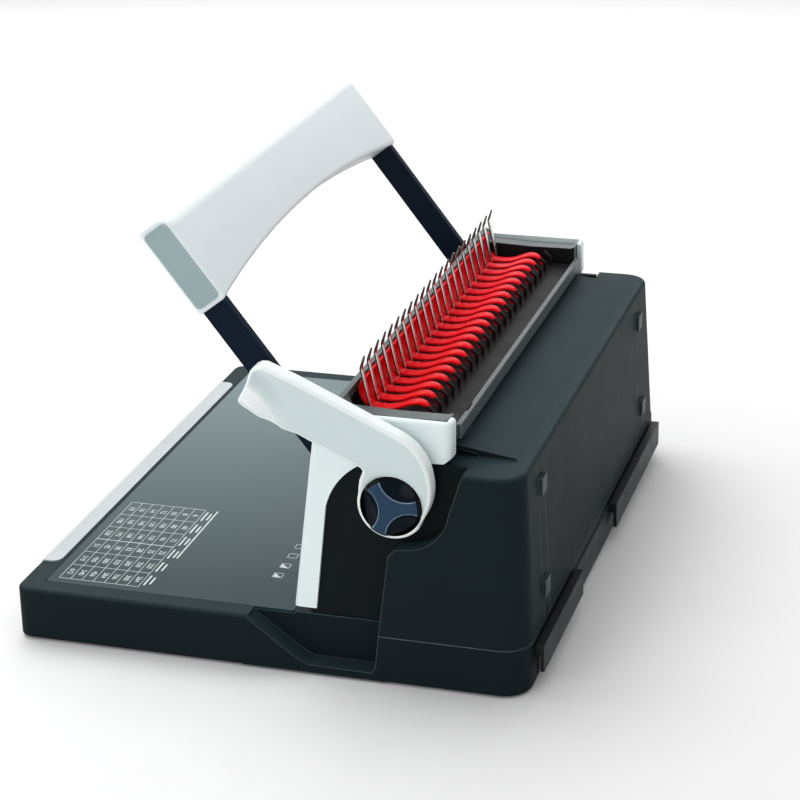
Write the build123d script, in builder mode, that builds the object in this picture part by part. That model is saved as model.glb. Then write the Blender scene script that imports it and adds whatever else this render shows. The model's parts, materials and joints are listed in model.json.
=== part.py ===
from build123d import *
from math import atan2, cos, degrees, pi, radians, sin
import os

os.makedirs("parts", exist_ok=True)

# Comb binding machine.  X along the machine, the user stands at -Y, Z up.
# The origin is on the resting plane, below the middle of the base.

# ---- base -------------------------------------------------------------
base_length = 400.0
base_front = -166.5
base_rear = 160.2
base_depth = base_rear - base_front
base_mid = (base_front + base_rear) / 2
base_corner = 17.0
front_corner = 8.5
base_bottom = 1.5
deck_top = 35.0
split_z = 31.5
base_wall = 3.0
deck_under = 28.3
base_edge = 2.4
housing_start = 69.7

panel_half = 186.5
panel_front = -151.5
panel_rear = 12.5
panel_thick = 1.4
panel_groove = 0.5

strip_half = 160.0
strip_front = -166.2
strip_rear = -154.0
strip_bottom = 33.0
strip_top = 35.8
strip_corner = 6.0

recess_wall = 187.0
recess_back = 3.5

boss_x = 186.0
boss_y = 130.0
boss_radius = 5.0
screw_shank = 1.5
screw_head = 3.2
screw_gap = 0.05
plate_thick = 1.5
plate_gap = 0.3
foot_x = 180.0
foot_y = 148.0
foot_radius = 9.0
foot_stem = 2.5

# ---- punching ---------------------------------------------------------
ring_count = 21
ring_pitch = 14.2875
finger_count = ring_count + 1
pin_y = 28.0
pin_width = 8.0
pin_depth = 3.0
pin_tip = 39.9
bar_under = 58.0
bar_top = 70.0
bar_half = 149.0
bar_front = 25.4
bar_rear = 31.5
die_gap = 0.4
lower_die_top = 34.8
lower_die_thick = 4.3
die_half = 155.0
lower_die_front = 17.0
lower_die_rear = 33.5
upper_die_under = 39.3
upper_die_top = 45.0
upper_die_front = 23.2
upper_die_rear = 32.5

# ---- handle -----------------------------------------------------------
pivot_y = 80.0
pivot_z = 70.0
arm_lean = 52.5
arm_inner = 165.5
arm_thick = 6.0
arm_width = 17.0
arm_reach = 236.0
shaft_radius = 8.0
shaft_fit = 0.06
grip_half = 173.6
grip_top = arm_reach + 14.2
grip_low_end = arm_reach - 45.8
grip_low_mid = arm_reach - 32.8
grip_under = 10.6
grip_over = 11.4
grip_round = 9.0
grip_edge = 1.6
cap_inset = 2.6
cap_depth = 1.6
gear_radius = 15.3
gear_teeth = 10
gear_addendum = 2.5
gear_dedendum = 3.3
tooth_at_pitch = 3.8
tooth_at_tip = 2.0
gear_width = 10.0
gear_x = 100.0
rack_back = 9.0
rack_low = 50.0
rack_high = 95.0

# ---- opener lever and knob --------------------------------------------
axis_y = 78.2
axis_z = 115.6
lever_inner = 186.0
lever_outer = 196.5
hub_radius = 21.0
hub_bore = 18.9
hub_floor = 190.0
tube_radius = 10.0
tube_bore = 6.0
tube_end = 139.0
opener_gear_radius = 15.0
opener_gear_x = 144.0
knob_radius = 18.3
knob_back = 190.6
knob_face = 200.0
spindle_radius = 5.0
spindle_end = 112.0
cam_radius = 24.0
cam_offset = 1.5
cam_x = 116.0
cam_width = 6.0
tab_flare = 3.5
scoop_radius = 20.0
lever_rise = 24.0

# ---- head -------------------------------------------------------------
side_lean = 3.85
frame_foot_x = 188.0
frame_foot_z = 39.2
frame_thick = 8.0
crown_wall = 3.0
crown_return = 12.0
crown_low = 145.6
crown_top = 164.0
crown_front = 35.6
crown_rear = 110.2
crown_corner = 5.0
cheek_inset = 2.0
strut_roll = 4.0
crown_roll = 2.4
cheek_thick = 3.0
trough_half = 160.0
floor_top = 150.0
floor_thick = 3.0
trough_front = 41.5
trough_rear = 108.0
block_half = 170.6
block_end = 176.2
hook_plate_low = 151.0
hook_plate_top = 152.4
hook_plate_front = 72.0
hook_plate_rear = 106.0
finger_width = 0.32 * ring_pitch
hook_width = 2.5
finger_thick = 1.2
fascia_half = 162.0
mech_x = 152.0
mech_thick = 3.0

# ---- chip drawer ------------------------------------------------------
drawer_half = 170.0
drawer_front = 10.0
drawer_low = 4.0
drawer_high = 25.5
drawer_wall = 2.0
lip_half = 181.0
lip_face = 166.5
lip_thick = 2.2
tray_rear = 160.9
notch_near = 73.0
notch_far = -30.0
lip_low = 10.8
lip_high = 28.0

# ---- comb -------------------------------------------------------------
ring_width = 0.602 * ring_pitch
ring_thick = 1.5
spine_half = 148.5

ring_x = [(i - (ring_count - 1) / 2) * ring_pitch for i in range(ring_count)]
gap_x = [(i - (finger_count - 1) / 2) * ring_pitch for i in range(finger_count)]

# Planes that several pieces share: the leaning outer wall of the right end,
# and the handle's own frame with its first axis along the arm.
lean = radians(side_lean)
end_wall = Plane(
    origin=(frame_foot_x, 0, frame_foot_z),
    x_dir=(0, 1, 0),
    z_dir=(cos(lean), 0, sin(lean)),
)
tilt = radians(arm_lean)
arm_dir = (0, -cos(tilt), sin(tilt))
face_dir = (0, sin(tilt), cos(tilt))
arm_plane = Plane(origin=(arm_inner, pivot_y, pivot_z), x_dir=arm_dir, z_dir=(1, 0, 0))
grip_plane = Plane(origin=(0, pivot_y, pivot_z), x_dir=(1, 0, 0), z_dir=face_dir)
scoop_plane = Plane(
    origin=(lever_outer - 1.5 + scoop_radius, 24.0, 174.8),
    x_dir=(1, 0, 0),
    z_dir=(0, cos(radians(lever_rise)), -sin(radians(lever_rise))),
)


def on_wall(y, z):
    """A point of the leaning end wall from its depth and height."""
    return (y, (z - frame_foot_z) / cos(lean))


def base_outline(inset):
    """The plan of the base, moved inwards by the inset."""
    with BuildSketch() as plan:
        with Locations((0, base_mid)):
            Rectangle(base_length - 2 * inset, base_depth - 2 * inset)
        fillet(plan.vertices().group_by(Axis.Y)[0], front_corner - inset)
        fillet(plan.vertices().group_by(Axis.Y)[-1], base_corner - inset)
    return plan.sketch


# ---- base tray --------------------------------------------------------
with BuildPart() as hand_recess:
    with BuildSketch(Plane.YZ.offset(recess_wall)):
        with BuildLine():
            Polyline(
                (-13.2, 40), (-12.9, 33.4), (7.5, 17.8), (20, 9.3), (25, 6.9),
                (64.8, 6.6), (67.4, 10.3), (69.7, 31.4), (69.7, 40), (-13.2, 40),
            )
        make_face()
    extrude(amount=20)
    mirror(about=Plane.YZ)

with BuildPart() as base_tray:
    with BuildSketch(Plane.XY.offset(base_bottom)):
        add(base_outline(0))
    extrude(amount=deck_top - base_bottom)
    fillet(base_tray.faces().sort_by(Axis.Z)[-1].edges(), base_edge)
    fillet(base_tray.faces().sort_by(Axis.Z)[0].edges(), 1.4)
    with BuildSketch(Plane.XY.offset(base_bottom)):
        add(base_outline(base_wall))
    extrude(amount=deck_under - base_bottom, mode=Mode.SUBTRACT)
    with BuildSketch(Plane.XY.offset(base_bottom)):
        with Locations((0, -72)):
            Rectangle(2 * 176, 146)
    extrude(amount=31.6 - base_bottom, mode=Mode.SUBTRACT)
    # solid backing behind the hand recess in each side, and screw bosses
    with BuildSketch(Plane.XY.offset(base_bottom)):
        with Locations((base_length / 2 - 8.5, 28.5), (-base_length / 2 + 8.5, 28.5)):
            Rectangle(17, 92)
    extrude(amount=deck_under + 1 - base_bottom)
    with BuildSketch(Plane.XY.offset(base_bottom + plate_thick)):
        with GridLocations(2 * boss_x, 2 * boss_y, 2, 2):
            Circle(boss_radius)
    extrude(amount=deck_under + 1 - base_bottom - plate_thick)
    # room at the rear for the housing, one step lower than the deck
    with BuildSketch(Plane.XY.offset(split_z)):
        with Locations((0, (housing_start + base_rear) / 2)):
            Rectangle(base_length, base_rear - housing_start)
    extrude(amount=deck_top - split_z, mode=Mode.SUBTRACT)
    add(hand_recess.part, mode=Mode.SUBTRACT)
    # pocket of the top panel and of the silver strip
    with BuildSketch(Plane.XY.offset(deck_top - panel_thick)):
        with Locations((0, (panel_front + panel_rear) / 2)):
            Rectangle(
                2 * (panel_half + panel_groove), panel_rear - panel_front + 2 * panel_groove
            )
    extrude(amount=5, mode=Mode.SUBTRACT)
    with BuildSketch(Plane.XY.offset(strip_bottom)):
        with Locations((0, strip_rear + panel_groove - 10)):
            RectangleRounded(2 * (strip_half + panel_groove), 20, strip_corner)
        with Locations((0, strip_rear - 14)):
            Rectangle(2 * (strip_half + panel_groove), 12)
    extrude(amount=8, mode=Mode.SUBTRACT)
    # opening for the lower die
    with BuildSketch(Plane.XY.offset(20)):
        with Locations((0, (lower_die_front + lower_die_rear) / 2)):
            Rectangle(2 * die_half - 6, lower_die_rear - lower_die_front - 4)
    extrude(amount=20, mode=Mode.SUBTRACT)
    with BuildSketch(Plane.XY.offset(lower_die_top - lower_die_thick)):
        with Locations((0, (lower_die_front + lower_die_rear) / 2)):
            Rectangle(2 * die_half, lower_die_rear - lower_die_front)
    extrude(amount=20, mode=Mode.SUBTRACT)
    # rear opening for the chip drawer
    with BuildSketch(Plane.XZ.offset(-base_rear - 1)):
        with Locations((0, (drawer_low + drawer_high) / 2)):
            Rectangle(2 * drawer_half + 2, drawer_high - drawer_low + 1.6)
    extrude(amount=base_wall + 3, mode=Mode.SUBTRACT)
    with GridLocations(2 * boss_x, 2 * boss_y, 2, 2):
        with Locations((0, 0, base_bottom + plate_thick)):
            Cylinder(
                screw_shank + screw_gap, 16,
                align=(Align.CENTER, Align.CENTER, Align.MIN), mode=Mode.SUBTRACT,
            )
base_tray.part.label = "base_tray"
export_step(base_tray.part, "parts/base_tray.step")

with BuildPart() as tray_top_panel:
    with BuildSketch(Plane.XY.offset(deck_top - panel_thick)):
        with Locations((0, (panel_front + panel_rear) / 2)):
            RectangleRounded(2 * panel_half, panel_rear - panel_front, 2)
    extrude(amount=panel_thick)
tray_top_panel.part.label = "tray_top_panel"
export_step(tray_top_panel.part, "parts/tray_top_panel.step")

with BuildPart() as front_trim_strip:
    with BuildSketch(Plane.XY.offset(strip_bottom)):
        with Locations((0, strip_rear - 10)):
            RectangleRounded(2 * strip_half, 20, strip_corner)
        with Locations((0, strip_front - 10)):
            Rectangle(2 * strip_half + 2, 20, mode=Mode.SUBTRACT)
    extrude(amount=strip_top - strip_bottom)
    fillet(front_trim_strip.edges().group_by(Axis.Z)[-1].group_by(Axis.Y)[0], 1.8)
front_trim_strip.part.label = "front_trim_strip"
export_step(front_trim_strip.part, "parts/front_trim_strip.step")

with BuildPart() as bottom_plate:
    with BuildSketch(Plane.XY.offset(base_bottom)):
        add(base_outline(base_wall + plate_gap))
        with Locations((base_length / 2 - 8.5, 28.5), (-base_length / 2 + 8.5, 28.5)):
            Rectangle(17 + plate_gap, 92 + 2 * plate_gap, mode=Mode.SUBTRACT)
        with GridLocations(2 * boss_x, 2 * boss_y, 2, 2):
            Circle(screw_shank + screw_gap, mode=Mode.SUBTRACT)
        with GridLocations(2 * foot_x, 2 * foot_y, 2, 2):
            Circle(foot_stem, mode=Mode.SUBTRACT)
    extrude(amount=plate_thick)
bottom_plate.part.label = "bottom_plate"
export_step(bottom_plate.part, "parts/bottom_plate.step")

with BuildPart() as bottom_screws:
    with BuildSketch(Plane.XY.offset(base_bottom)):
        with GridLocations(2 * boss_x, 2 * boss_y, 2, 2):
            Circle(screw_shank)
    extrude(amount=14)
    with BuildSketch(Plane.XY.offset(base_bottom)):
        with GridLocations(2 * boss_x, 2 * boss_y, 2, 2):
            Circle(screw_head)
    extrude(amount=-1.1)
bottom_screws.part.label = "bottom_screws"
export_step(bottom_screws.part, "parts/bottom_screws.step")

with BuildPart() as rubber_feet:
    with BuildSketch():
        with GridLocations(2 * foot_x, 2 * foot_y, 2, 2):
            Circle(foot_radius)
    extrude(amount=base_bottom)
    with BuildSketch(Plane.XY.offset(base_bottom)):
        with GridLocations(2 * foot_x, 2 * foot_y, 2, 2):
            Circle(foot_stem)
    extrude(amount=plate_thick)
rubber_feet.part.label = "rubber_feet"
export_step(rubber_feet.part, "parts/rubber_feet.step")

# ---- dies -------------------------------------------------------------
with BuildPart() as lower_die:
    with BuildSketch(Plane.XY.offset(lower_die_top - lower_die_thick)):
        with Locations((0, (lower_die_front + lower_die_rear) / 2)):
            Rectangle(2 * die_half, lower_die_rear - lower_die_front)
        with Locations(*[(x, pin_y) for x in ring_x]):
            Rectangle(pin_width + 2 * die_gap, pin_depth + 2 * die_gap, mode=Mode.SUBTRACT)
    extrude(amount=lower_die_thick)
lower_die.part.label = "lower_die"
export_step(lower_die.part, "parts/lower_die.step")

with BuildPart() as upper_die:
    with BuildSketch(Plane.XY.offset(upper_die_under)):
        with Locations((0, (upper_die_front + upper_die_rear) / 2)):
            Rectangle(2 * mech_x, upper_die_rear - upper_die_front)
        with Locations(*[(x, pin_y) for x in ring_x]):
            Rectangle(pin_width + 2 * die_gap, pin_depth + 2 * die_gap, mode=Mode.SUBTRACT)
    extrude(amount=upper_die_top - upper_die_under)
upper_die.part.label = "upper_die"
export_step(upper_die.part, "parts/upper_die.step")

# ---- rear housing -----------------------------------------------------
house_foot_corner = 20.0
house_top_corner = 16.0
house_top_z = 136.5
house_top_half = 190.0
house_top_rear = 155.0
seam_width = 0.8
seam_depth = 0.6
seam_x = (138.0, 153.0)
lug_width = 12.0
lug_height = 10.5
lug_stand = 2.2
plateau_half = 160.0
plateau_front = 106.8
plateau_rear = 144.0
plateau_top = 143.5
plateau_thick = 3.0
shelf_half = 175.9
house_wall = 3.0

with BuildPart() as housing_cavity:
    with BuildSketch(Plane.XY.offset(split_z)):
        with Locations((0, (base_rear - house_wall) / 2)):
            RectangleRounded(
                base_length - 2 * house_wall, base_rear - house_wall,
                house_foot_corner - house_wall,
            )
    with BuildSketch(Plane.XY.offset(house_top_z - house_wall)):
        with Locations((0, (house_top_rear - house_wall) / 2)):
            RectangleRounded(
                2 * (house_top_half - house_wall), house_top_rear - house_wall,
                house_top_corner - house_wall,
            )
    loft()
    with BuildSketch(Plane.YZ.offset(-base_length)):
        with BuildLine():
            Polyline((72.7, 31.4), (78.0, 81.4), (80.9, 84.1), (88, 84.9))
            ThreePointArc((88, 84.9), (104.5, 92), (114.4, 110.4))
            Polyline(
                (114.4, 110.4), (124.5, 143), (124.5, 145), (-20, 145), (-20, 20), (72.7, 20),
                (72.7, 31.4),
            )
        make_face()
    extrude(amount=2 * base_length, mode=Mode.SUBTRACT)

with BuildPart() as rear_housing:
    with BuildSketch(Plane.XY.offset(split_z)):
        with Locations((0, base_rear / 2)):
            RectangleRounded(base_length, base_rear, house_foot_corner)
    with BuildSketch(Plane.XY.offset(house_top_z)):
        with Locations((0, house_top_rear / 2)):
            RectangleRounded(2 * house_top_half, house_top_rear, house_top_corner)
    loft()
    fillet(rear_housing.faces().sort_by(Axis.Z)[-1].edges(), 2.5)
    # clearance in front for the head and for the lever hub
    with BuildSketch(Plane.YZ.offset(-base_length)):
        with BuildLine():
            Polyline((69.7, 31.4), (75.2, 82.6), (79.6, 87), (88, 87.9))
            ThreePointArc((88, 87.9), (102.4, 94.2), (111.5, 111))
            Polyline(
                (111.5, 111), (121.4, 143), (121.4, 145), (-20, 145), (-20, 20), (69.7, 20),
                (69.7, 31.4),
            )
        make_face()
    extrude(amount=2 * base_length, mode=Mode.SUBTRACT)
    add(housing_cavity.part, mode=Mode.SUBTRACT)
    # the top reaches forward between the dark side walls
    with BuildSketch(Plane.XY.offset(house_top_z - house_wall)):
        with Locations((0, (plateau_front + 124) / 2)):
            Rectangle(2 * shelf_half, 124 - plateau_front)
    extrude(amount=house_wall - 0.1)
    # sloping plateau behind the head, reaching forward over the opening
    with BuildSketch(Plane.YZ.offset(-plateau_half)):
        with BuildLine():
            Polyline(
                (plateau_front, plateau_top), (plateau_rear, house_top_z + 1.3),
                (plateau_rear + 3, house_top_z - 0.5), (121, house_top_z - 0.5),
                (121, house_top_z + 1.8), (plateau_front, plateau_top - plateau_thick),
                (plateau_front, plateau_top),
            )
        make_face()
    extrude(amount=2 * plateau_half)
    with BuildSketch(Plane.XY.offset(split_z - 1)):
        with Locations((0, 65)):
            Rectangle(2 * 174.5, 112)
    extrude(amount=house_top_z - house_wall - split_z + 1, mode=Mode.SUBTRACT)
    rear_lean = degrees(atan2(base_rear - house_top_rear, house_top_z - split_z))
    for x in seam_x:
        for side in (-1, 1):
            with Locations(Location((side * x, (base_rear + house_top_rear) / 2, 84), (rear_lean, 0, 0))):
                Box(seam_width, 2 * seam_depth, 101, mode=Mode.SUBTRACT)
rear_housing.part.label = "rear_housing"
export_step(rear_housing.part, "parts/rear_housing.step")

# ---- dark side walls --------------------------------------------------
with BuildPart() as cheek_right:
    with BuildSketch(end_wall.offset(-cheek_inset)):
        with BuildLine():
            Polyline(
                on_wall(88, 88.3), on_wall(79.4, 87.4), on_wall(74.8, 82.8), on_wall(69.2, 35.6),
                on_wall(23.0, 35.6), on_wall(30.5, 118), on_wall(40, 138), on_wall(119.6, 138),
                on_wall(111.1, 111.2),
            )
            ThreePointArc(on_wall(111.1, 111.2), on_wall(102.1, 94.5), on_wall(88, 88.3))
        make_face()
    extrude(amount=-cheek_thick)
with BuildPart() as cheek_left:
    mirror(cheek_right.part, about=Plane.YZ)
with cheek_right:
    with Locations(Location((frame_foot_x - 20, axis_y, axis_z), (0, 90, 0))):
        Cylinder(tube_radius + 1.0, 80, mode=Mode.SUBTRACT)
cheek_right.part.label = "cheek_right"
export_step(cheek_right.part, "parts/cheek_right.step")

cheek_left.part.label = "cheek_left"
export_step(cheek_left.part, "parts/cheek_left.step")

# ---- silver end frames ------------------------------------------------
with BuildPart() as end_frame_right:
    with BuildSketch(end_wall):
        with BuildLine():
            Polyline(
                on_wall(33.6, 105.1), on_wall(27.4, 39.2), on_wall(12.9, 39.2),
                on_wall(26.2, 158), on_wall(31, crown_top), on_wall(crown_rear, crown_top),
                on_wall(crown_rear, 142.0), on_wall(106, 138.9), on_wall(66, 137.5),
            )
            ThreePointArc(on_wall(66, 137.5), on_wall(42.6, 123), on_wall(33.6, 105.1))
        make_face()
    extrude(amount=-frame_thick)
    wall_axis = Axis((0, 0, 0), end_wall.z_dir)
    # the crown is a thin wall with a return across its rear end
    with BuildSketch(end_wall.offset(-crown_wall)):
        with BuildLine():
            Polyline(
                on_wall(crown_front, crown_low), on_wall(crown_front, crown_top + 9),
                on_wall(crown_rear - crown_wall, crown_top + 9),
                on_wall(crown_rear - crown_wall, crown_low), on_wall(crown_front, crown_low),
            )
        make_face()
    extrude(amount=-frame_thick, mode=Mode.SUBTRACT)
    with BuildSketch(end_wall):
        with BuildLine():
            Polyline(
                on_wall(crown_rear - crown_wall, 141.0), on_wall(crown_rear - crown_wall, crown_top),
                on_wall(crown_rear, crown_top), on_wall(crown_rear, 142.0),
                on_wall(crown_rear - crown_wall, 141.0),
            )
        make_face()
    extrude(amount=-crown_return)
    outer_face = end_frame_right.faces().filter_by(wall_axis).sort_by(Axis.X)[-1]
    fillet(outer_face.edges().sort_by(Axis.Y)[-1], crown_corner)
    outer_face = end_frame_right.faces().filter_by(wall_axis).sort_by(Axis.X)[-1]
    fillet(outer_face.edges().sort_by(Axis.Z)[-1], crown_roll)
    outer_face = end_frame_right.faces().filter_by(wall_axis).sort_by(Axis.X)[-1]
    fillet(outer_face.edges().sort_by(Axis.Y)[0], strut_roll)
    add(cheek_right.part, mode=Mode.SUBTRACT)
end_frame_right.part.label = "end_frame_right"
export_step(end_frame_right.part, "parts/end_frame_right.step")

with BuildPart() as end_frame_left:
    mirror(end_frame_right.part, about=Plane.YZ)
end_frame_left.part.label = "end_frame_left"
export_step(end_frame_left.part, "parts/end_frame_left.step")

# ---- head between the end frames --------------------------------------
with BuildPart() as front_fascia:
    with BuildSketch(Plane.YZ.offset(-fascia_half)):
        with BuildLine():
            Polyline((18.9, 39.3), (31.2, 147.2), (33.4, 147.2), (21.1, 39.3), (18.9, 39.3))
        make_face()
    extrude(amount=2 * fascia_half)
front_fascia.part.label = "front_fascia"
export_step(front_fascia.part, "parts/front_fascia.step")

with BuildPart() as comb_platform:
    with BuildSketch(Plane.YZ.offset(-trough_half)):
        with BuildLine():
            Polyline(
                (31.4, 147.4), (33.4, 161), (37, 168.4), (38.6, 169.6), (trough_front, 169.6),
                (trough_front, floor_top), (trough_rear, floor_top), (trough_rear, 156),
                (111, 156), (111, floor_top - floor_thick), (31.4, 147.4),
            )
        make_face()
    extrude(amount=2 * trough_half)
    for side in (-1, 1):
        with BuildSketch(Plane.YZ.offset(side * trough_half)):
            with BuildLine():
                Polyline(
                    (32.6, 151.8), (33.4, 161), (37, 168.4), (38.6, 169.6), (trough_front, 169.6),
                    (45, 162.6), (75, 161.6), (104, 162.0), (106.8, 163), (106.8, 146), (38, 146),
                    (32.6, 151.8),
                )
            make_face()
        extrude(amount=side * (block_half - trough_half))
        # filling of the hollow crown of the end frame
        with BuildSketch(Plane.YZ.offset(side * block_half)):
            with BuildLine():
                Polyline(
                    (36, 146), (36, 161.6), (45, 161.0), (75, 160.2), (104, 160.6),
                    (106.8, 161.2), (106.8, 146), (36, 146),
                )
            make_face()
        extrude(amount=side * (block_end - block_half))
    # slots of the fingers and of the opener's upright
    with Locations(*[(x, 54.2, floor_top) for x in gap_x]):
        Box(finger_width + 0.4, 3.4, 20, mode=Mode.SUBTRACT)
    with Locations((131.5, 95.0, floor_top)):
        Box(13, 28, 20, mode=Mode.SUBTRACT)
comb_platform.part.label = "comb_platform"
export_step(comb_platform.part, "parts/comb_platform.step")

# the fixed steel fingers: leaning towards the user, tips bent back
with BuildPart() as comb_fingers:
    with BuildSketch(*[Plane.YZ.offset(x - finger_width / 2) for x in gap_x]):
        with BuildLine():
            Polyline((60, 145.6), (54.6, 145.6), (52.8, 157), (47.2, 181.9), (49.4, 189.7))
            offset(amount=finger_thick / 2, side=Side.BOTH)
        make_face()
    extrude(amount=finger_width)
    with Locations((0, 60, 145.6)):
        Box(2 * 152, 6, finger_thick)
comb_fingers.part.label = "comb_fingers"
export_step(comb_fingers.part, "parts/comb_fingers.step")

# ---- inner mechanism plates, bushes -----------------------------------
with BuildPart() as mech_plate_right:
    with BuildSketch(Plane.YZ.offset(mech_x)):
        with BuildLine():
            Polyline(
                (36.5, 35.2), (68, 35.2), (105.5, 77), (105.5, 144.8), (37, 144.8), (36.5, 35.2)
            )
        make_face()
        with Locations((pivot_y, pivot_z)):
            Circle(shaft_radius + 2.5, mode=Mode.SUBTRACT)
    extrude(amount=mech_thick)
with BuildPart() as mech_plate_left:
    mirror(mech_plate_right.part, about=Plane.YZ)
with mech_plate_right:
    with Locations(Location((mech_x + mech_thick / 2, axis_y, axis_z), (0, 90, 0))):
        Cylinder(tube_radius + 2.5, 2 * mech_thick, mode=Mode.SUBTRACT)
mech_plate_right.part.label = "mech_plate_right"
export_step(mech_plate_right.part, "parts/mech_plate_right.step")

mech_plate_left.part.label = "mech_plate_left"
export_step(mech_plate_left.part, "parts/mech_plate_left.step")

with BuildPart() as shaft_bushes:
    for side in (-1, 1):
        with Locations(Location((side * (mech_x + mech_thick / 2), pivot_y, pivot_z), (0, 90, 0))):
            Cylinder(shaft_radius + 2.5, mech_thick + 2)
            Cylinder(shaft_radius + shaft_fit, mech_thick + 4, mode=Mode.SUBTRACT)
    with Locations(Location((mech_x + mech_thick / 2, axis_y, axis_z), (0, 90, 0))):
        Cylinder(tube_radius + 2.5, mech_thick + 2)
        Cylinder(tube_radius + shaft_fit, mech_thick + 4, mode=Mode.SUBTRACT)
shaft_bushes.part.label = "shaft_bushes"
export_step(shaft_bushes.part, "parts/shaft_bushes.step")

with BuildPart() as tie_rods:
    for y, z in ((46, 138), (100, 84)):
        with Locations(Location((0, y, z), (0, 90, 0))):
            Cylinder(3.0, 2 * mech_x)
tie_rods.part.label = "tie_rods"
export_step(tie_rods.part, "parts/tie_rods.step")

# ---- rear lugs --------------------------------------------------------
def rear_wall(z):
    """Depth of the housing's leaning rear wall at a height."""
    return base_rear + (house_top_rear - base_rear) * (z - split_z) / (house_top_z - split_z)


with BuildPart() as rear_lugs:
    for x, z in ((145.7, 117.0), (148.5, 52.5)):
        with Locations((x, rear_wall(z) + lug_stand - 3, z), (-x, rear_wall(z) + lug_stand - 3, z)):
            Box(lug_width, 6, lug_height)
    fillet(rear_lugs.edges().filter_by(Axis.Z), 0.8)
    add(rear_housing.part, mode=Mode.SUBTRACT)
    add(housing_cavity.part, mode=Mode.SUBTRACT)
rear_lugs.part.label = "rear_lugs"
export_step(rear_lugs.part, "parts/rear_lugs.step")

# ---- handle -----------------------------------------------------------
with BuildPart() as handle_arm_right:
    with BuildSketch(arm_plane):
        with Locations((arm_reach / 2, 0)):
            Rectangle(arm_reach, arm_width)
        Circle(arm_width / 2 + 3)
        Circle(shaft_radius, mode=Mode.SUBTRACT)
    extrude(amount=arm_thick)
handle_arm_right.part.label = "handle_arm_right"
export_step(handle_arm_right.part, "parts/handle_arm_right.step")

with BuildPart() as handle_arm_left:
    mirror(handle_arm_right.part, about=Plane.YZ)
handle_arm_left.part.label = "handle_arm_left"
export_step(handle_arm_left.part, "parts/handle_arm_left.step")

with BuildPart() as handle_shaft:
    with Locations(Location((0, pivot_y, pivot_z), (0, 90, 0))):
        Cylinder(shaft_radius, 2 * (arm_inner + arm_thick))
handle_shaft.part.label = "handle_shaft"
export_step(handle_shaft.part, "parts/handle_shaft.step")

with BuildPart() as handle_pinions:
    for side in (-1, 1):
        with BuildSketch(Plane.YZ.offset(side * gear_x - gear_width / 2)):
            with Locations((pivot_y, pivot_z)):
                Circle(gear_radius - gear_dedendum)
                with PolarLocations(0, gear_teeth, 180 + 180 / gear_teeth):
                    Polygon(
                        (gear_radius - gear_dedendum - 1, -2.7),
                        (gear_radius, -tooth_at_pitch / 2),
                        (gear_radius + gear_addendum, -tooth_at_tip / 2),
                        (gear_radius + gear_addendum, tooth_at_tip / 2),
                        (gear_radius, tooth_at_pitch / 2),
                        (gear_radius - gear_dedendum - 1, 2.7),
                        align=None,
                    )
                Circle(shaft_radius, mode=Mode.SUBTRACT)
        extrude(amount=gear_width)
handle_pinions.part.label = "handle_pinions"
export_step(handle_pinions.part, "parts/handle_pinions.step")

with BuildPart() as handle_grip:
    with BuildSketch(grip_plane.offset(-grip_under)):
        with BuildLine():
            Polyline(
                (-grip_half, -grip_low_end), (-grip_half, -grip_top), (grip_half, -grip_top),
                (grip_half, -grip_low_end),
            )
            ThreePointArc(
                (grip_half, -grip_low_end), (0, -grip_low_mid), (-grip_half, -grip_low_end)
            )
        make_face()
    extrude(amount=grip_under + grip_over)
    far_side = handle_grip.faces().filter_by(Axis((0, 0, 0), arm_dir))[0]
    across = Axis((0, 0, 0), face_dir)
    fillet(far_side.edges().filter_by(Axis.X).sort_by(across)[-1], grip_round)
    far_side = handle_grip.faces().filter_by(Axis((0, 0, 0), arm_dir))[0]
    fillet(far_side.edges().filter_by(Axis.X).sort_by(across)[0], grip_edge)
    low_side = handle_grip.faces().filter_by(GeomType.CYLINDER).sort_by(SortBy.AREA)[-1]
    fillet(low_side.edges().filter_by(GeomType.CIRCLE), 3.0)
    # sockets for the arms, recess for the end caps
    for side in (-1, 1):
        with BuildSketch(arm_plane.offset((side - 1) / 2 * (2 * arm_inner + arm_thick))):
            with Locations((arm_reach / 2, 0)):
                Rectangle(arm_reach, arm_width)
        extrude(amount=arm_thick, mode=Mode.SUBTRACT)
handle_grip.part.label = "handle_grip"
export_step(handle_grip.part, "parts/handle_grip.step")

with BuildPart() as grip_cap_right:
    with BuildSketch(arm_plane.offset(grip_half - arm_inner)):
        with Locations(((grip_top + grip_low_end) / 2, (grip_under - grip_over) / 2)):
            RectangleRounded(
                grip_top - grip_low_end - 2 * cap_inset - 1,
                grip_under + grip_over - 2 * cap_inset, 3.0,
            )
    extrude(amount=cap_depth)
grip_cap_right.part.label = "grip_cap_right"
export_step(grip_cap_right.part, "parts/grip_cap_right.step")

with BuildPart() as grip_cap_left:
    mirror(grip_cap_right.part, about=Plane.YZ)
grip_cap_left.part.label = "grip_cap_left"
export_step(grip_cap_left.part, "parts/grip_cap_left.step")

# ---- punch carriage ---------------------------------------------------
with BuildPart() as punch_bar:
    with Locations((0, (bar_front + bar_rear) / 2, (bar_under + bar_top) / 2)):
        Box(2 * bar_half, bar_rear - bar_front, bar_top - bar_under)
punch_bar.part.label = "punch_bar"
export_step(punch_bar.part, "parts/punch_bar.step")

with BuildPart() as punch_pins:
    with BuildSketch(Plane.XY.offset(pin_tip)):
        with Locations(*[(x, pin_y) for x in ring_x]):
            Rectangle(pin_width, pin_depth)
    extrude(amount=bar_under - pin_tip)
punch_pins.part.label = "punch_pins"
export_step(punch_pins.part, "parts/punch_pins.step")

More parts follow.
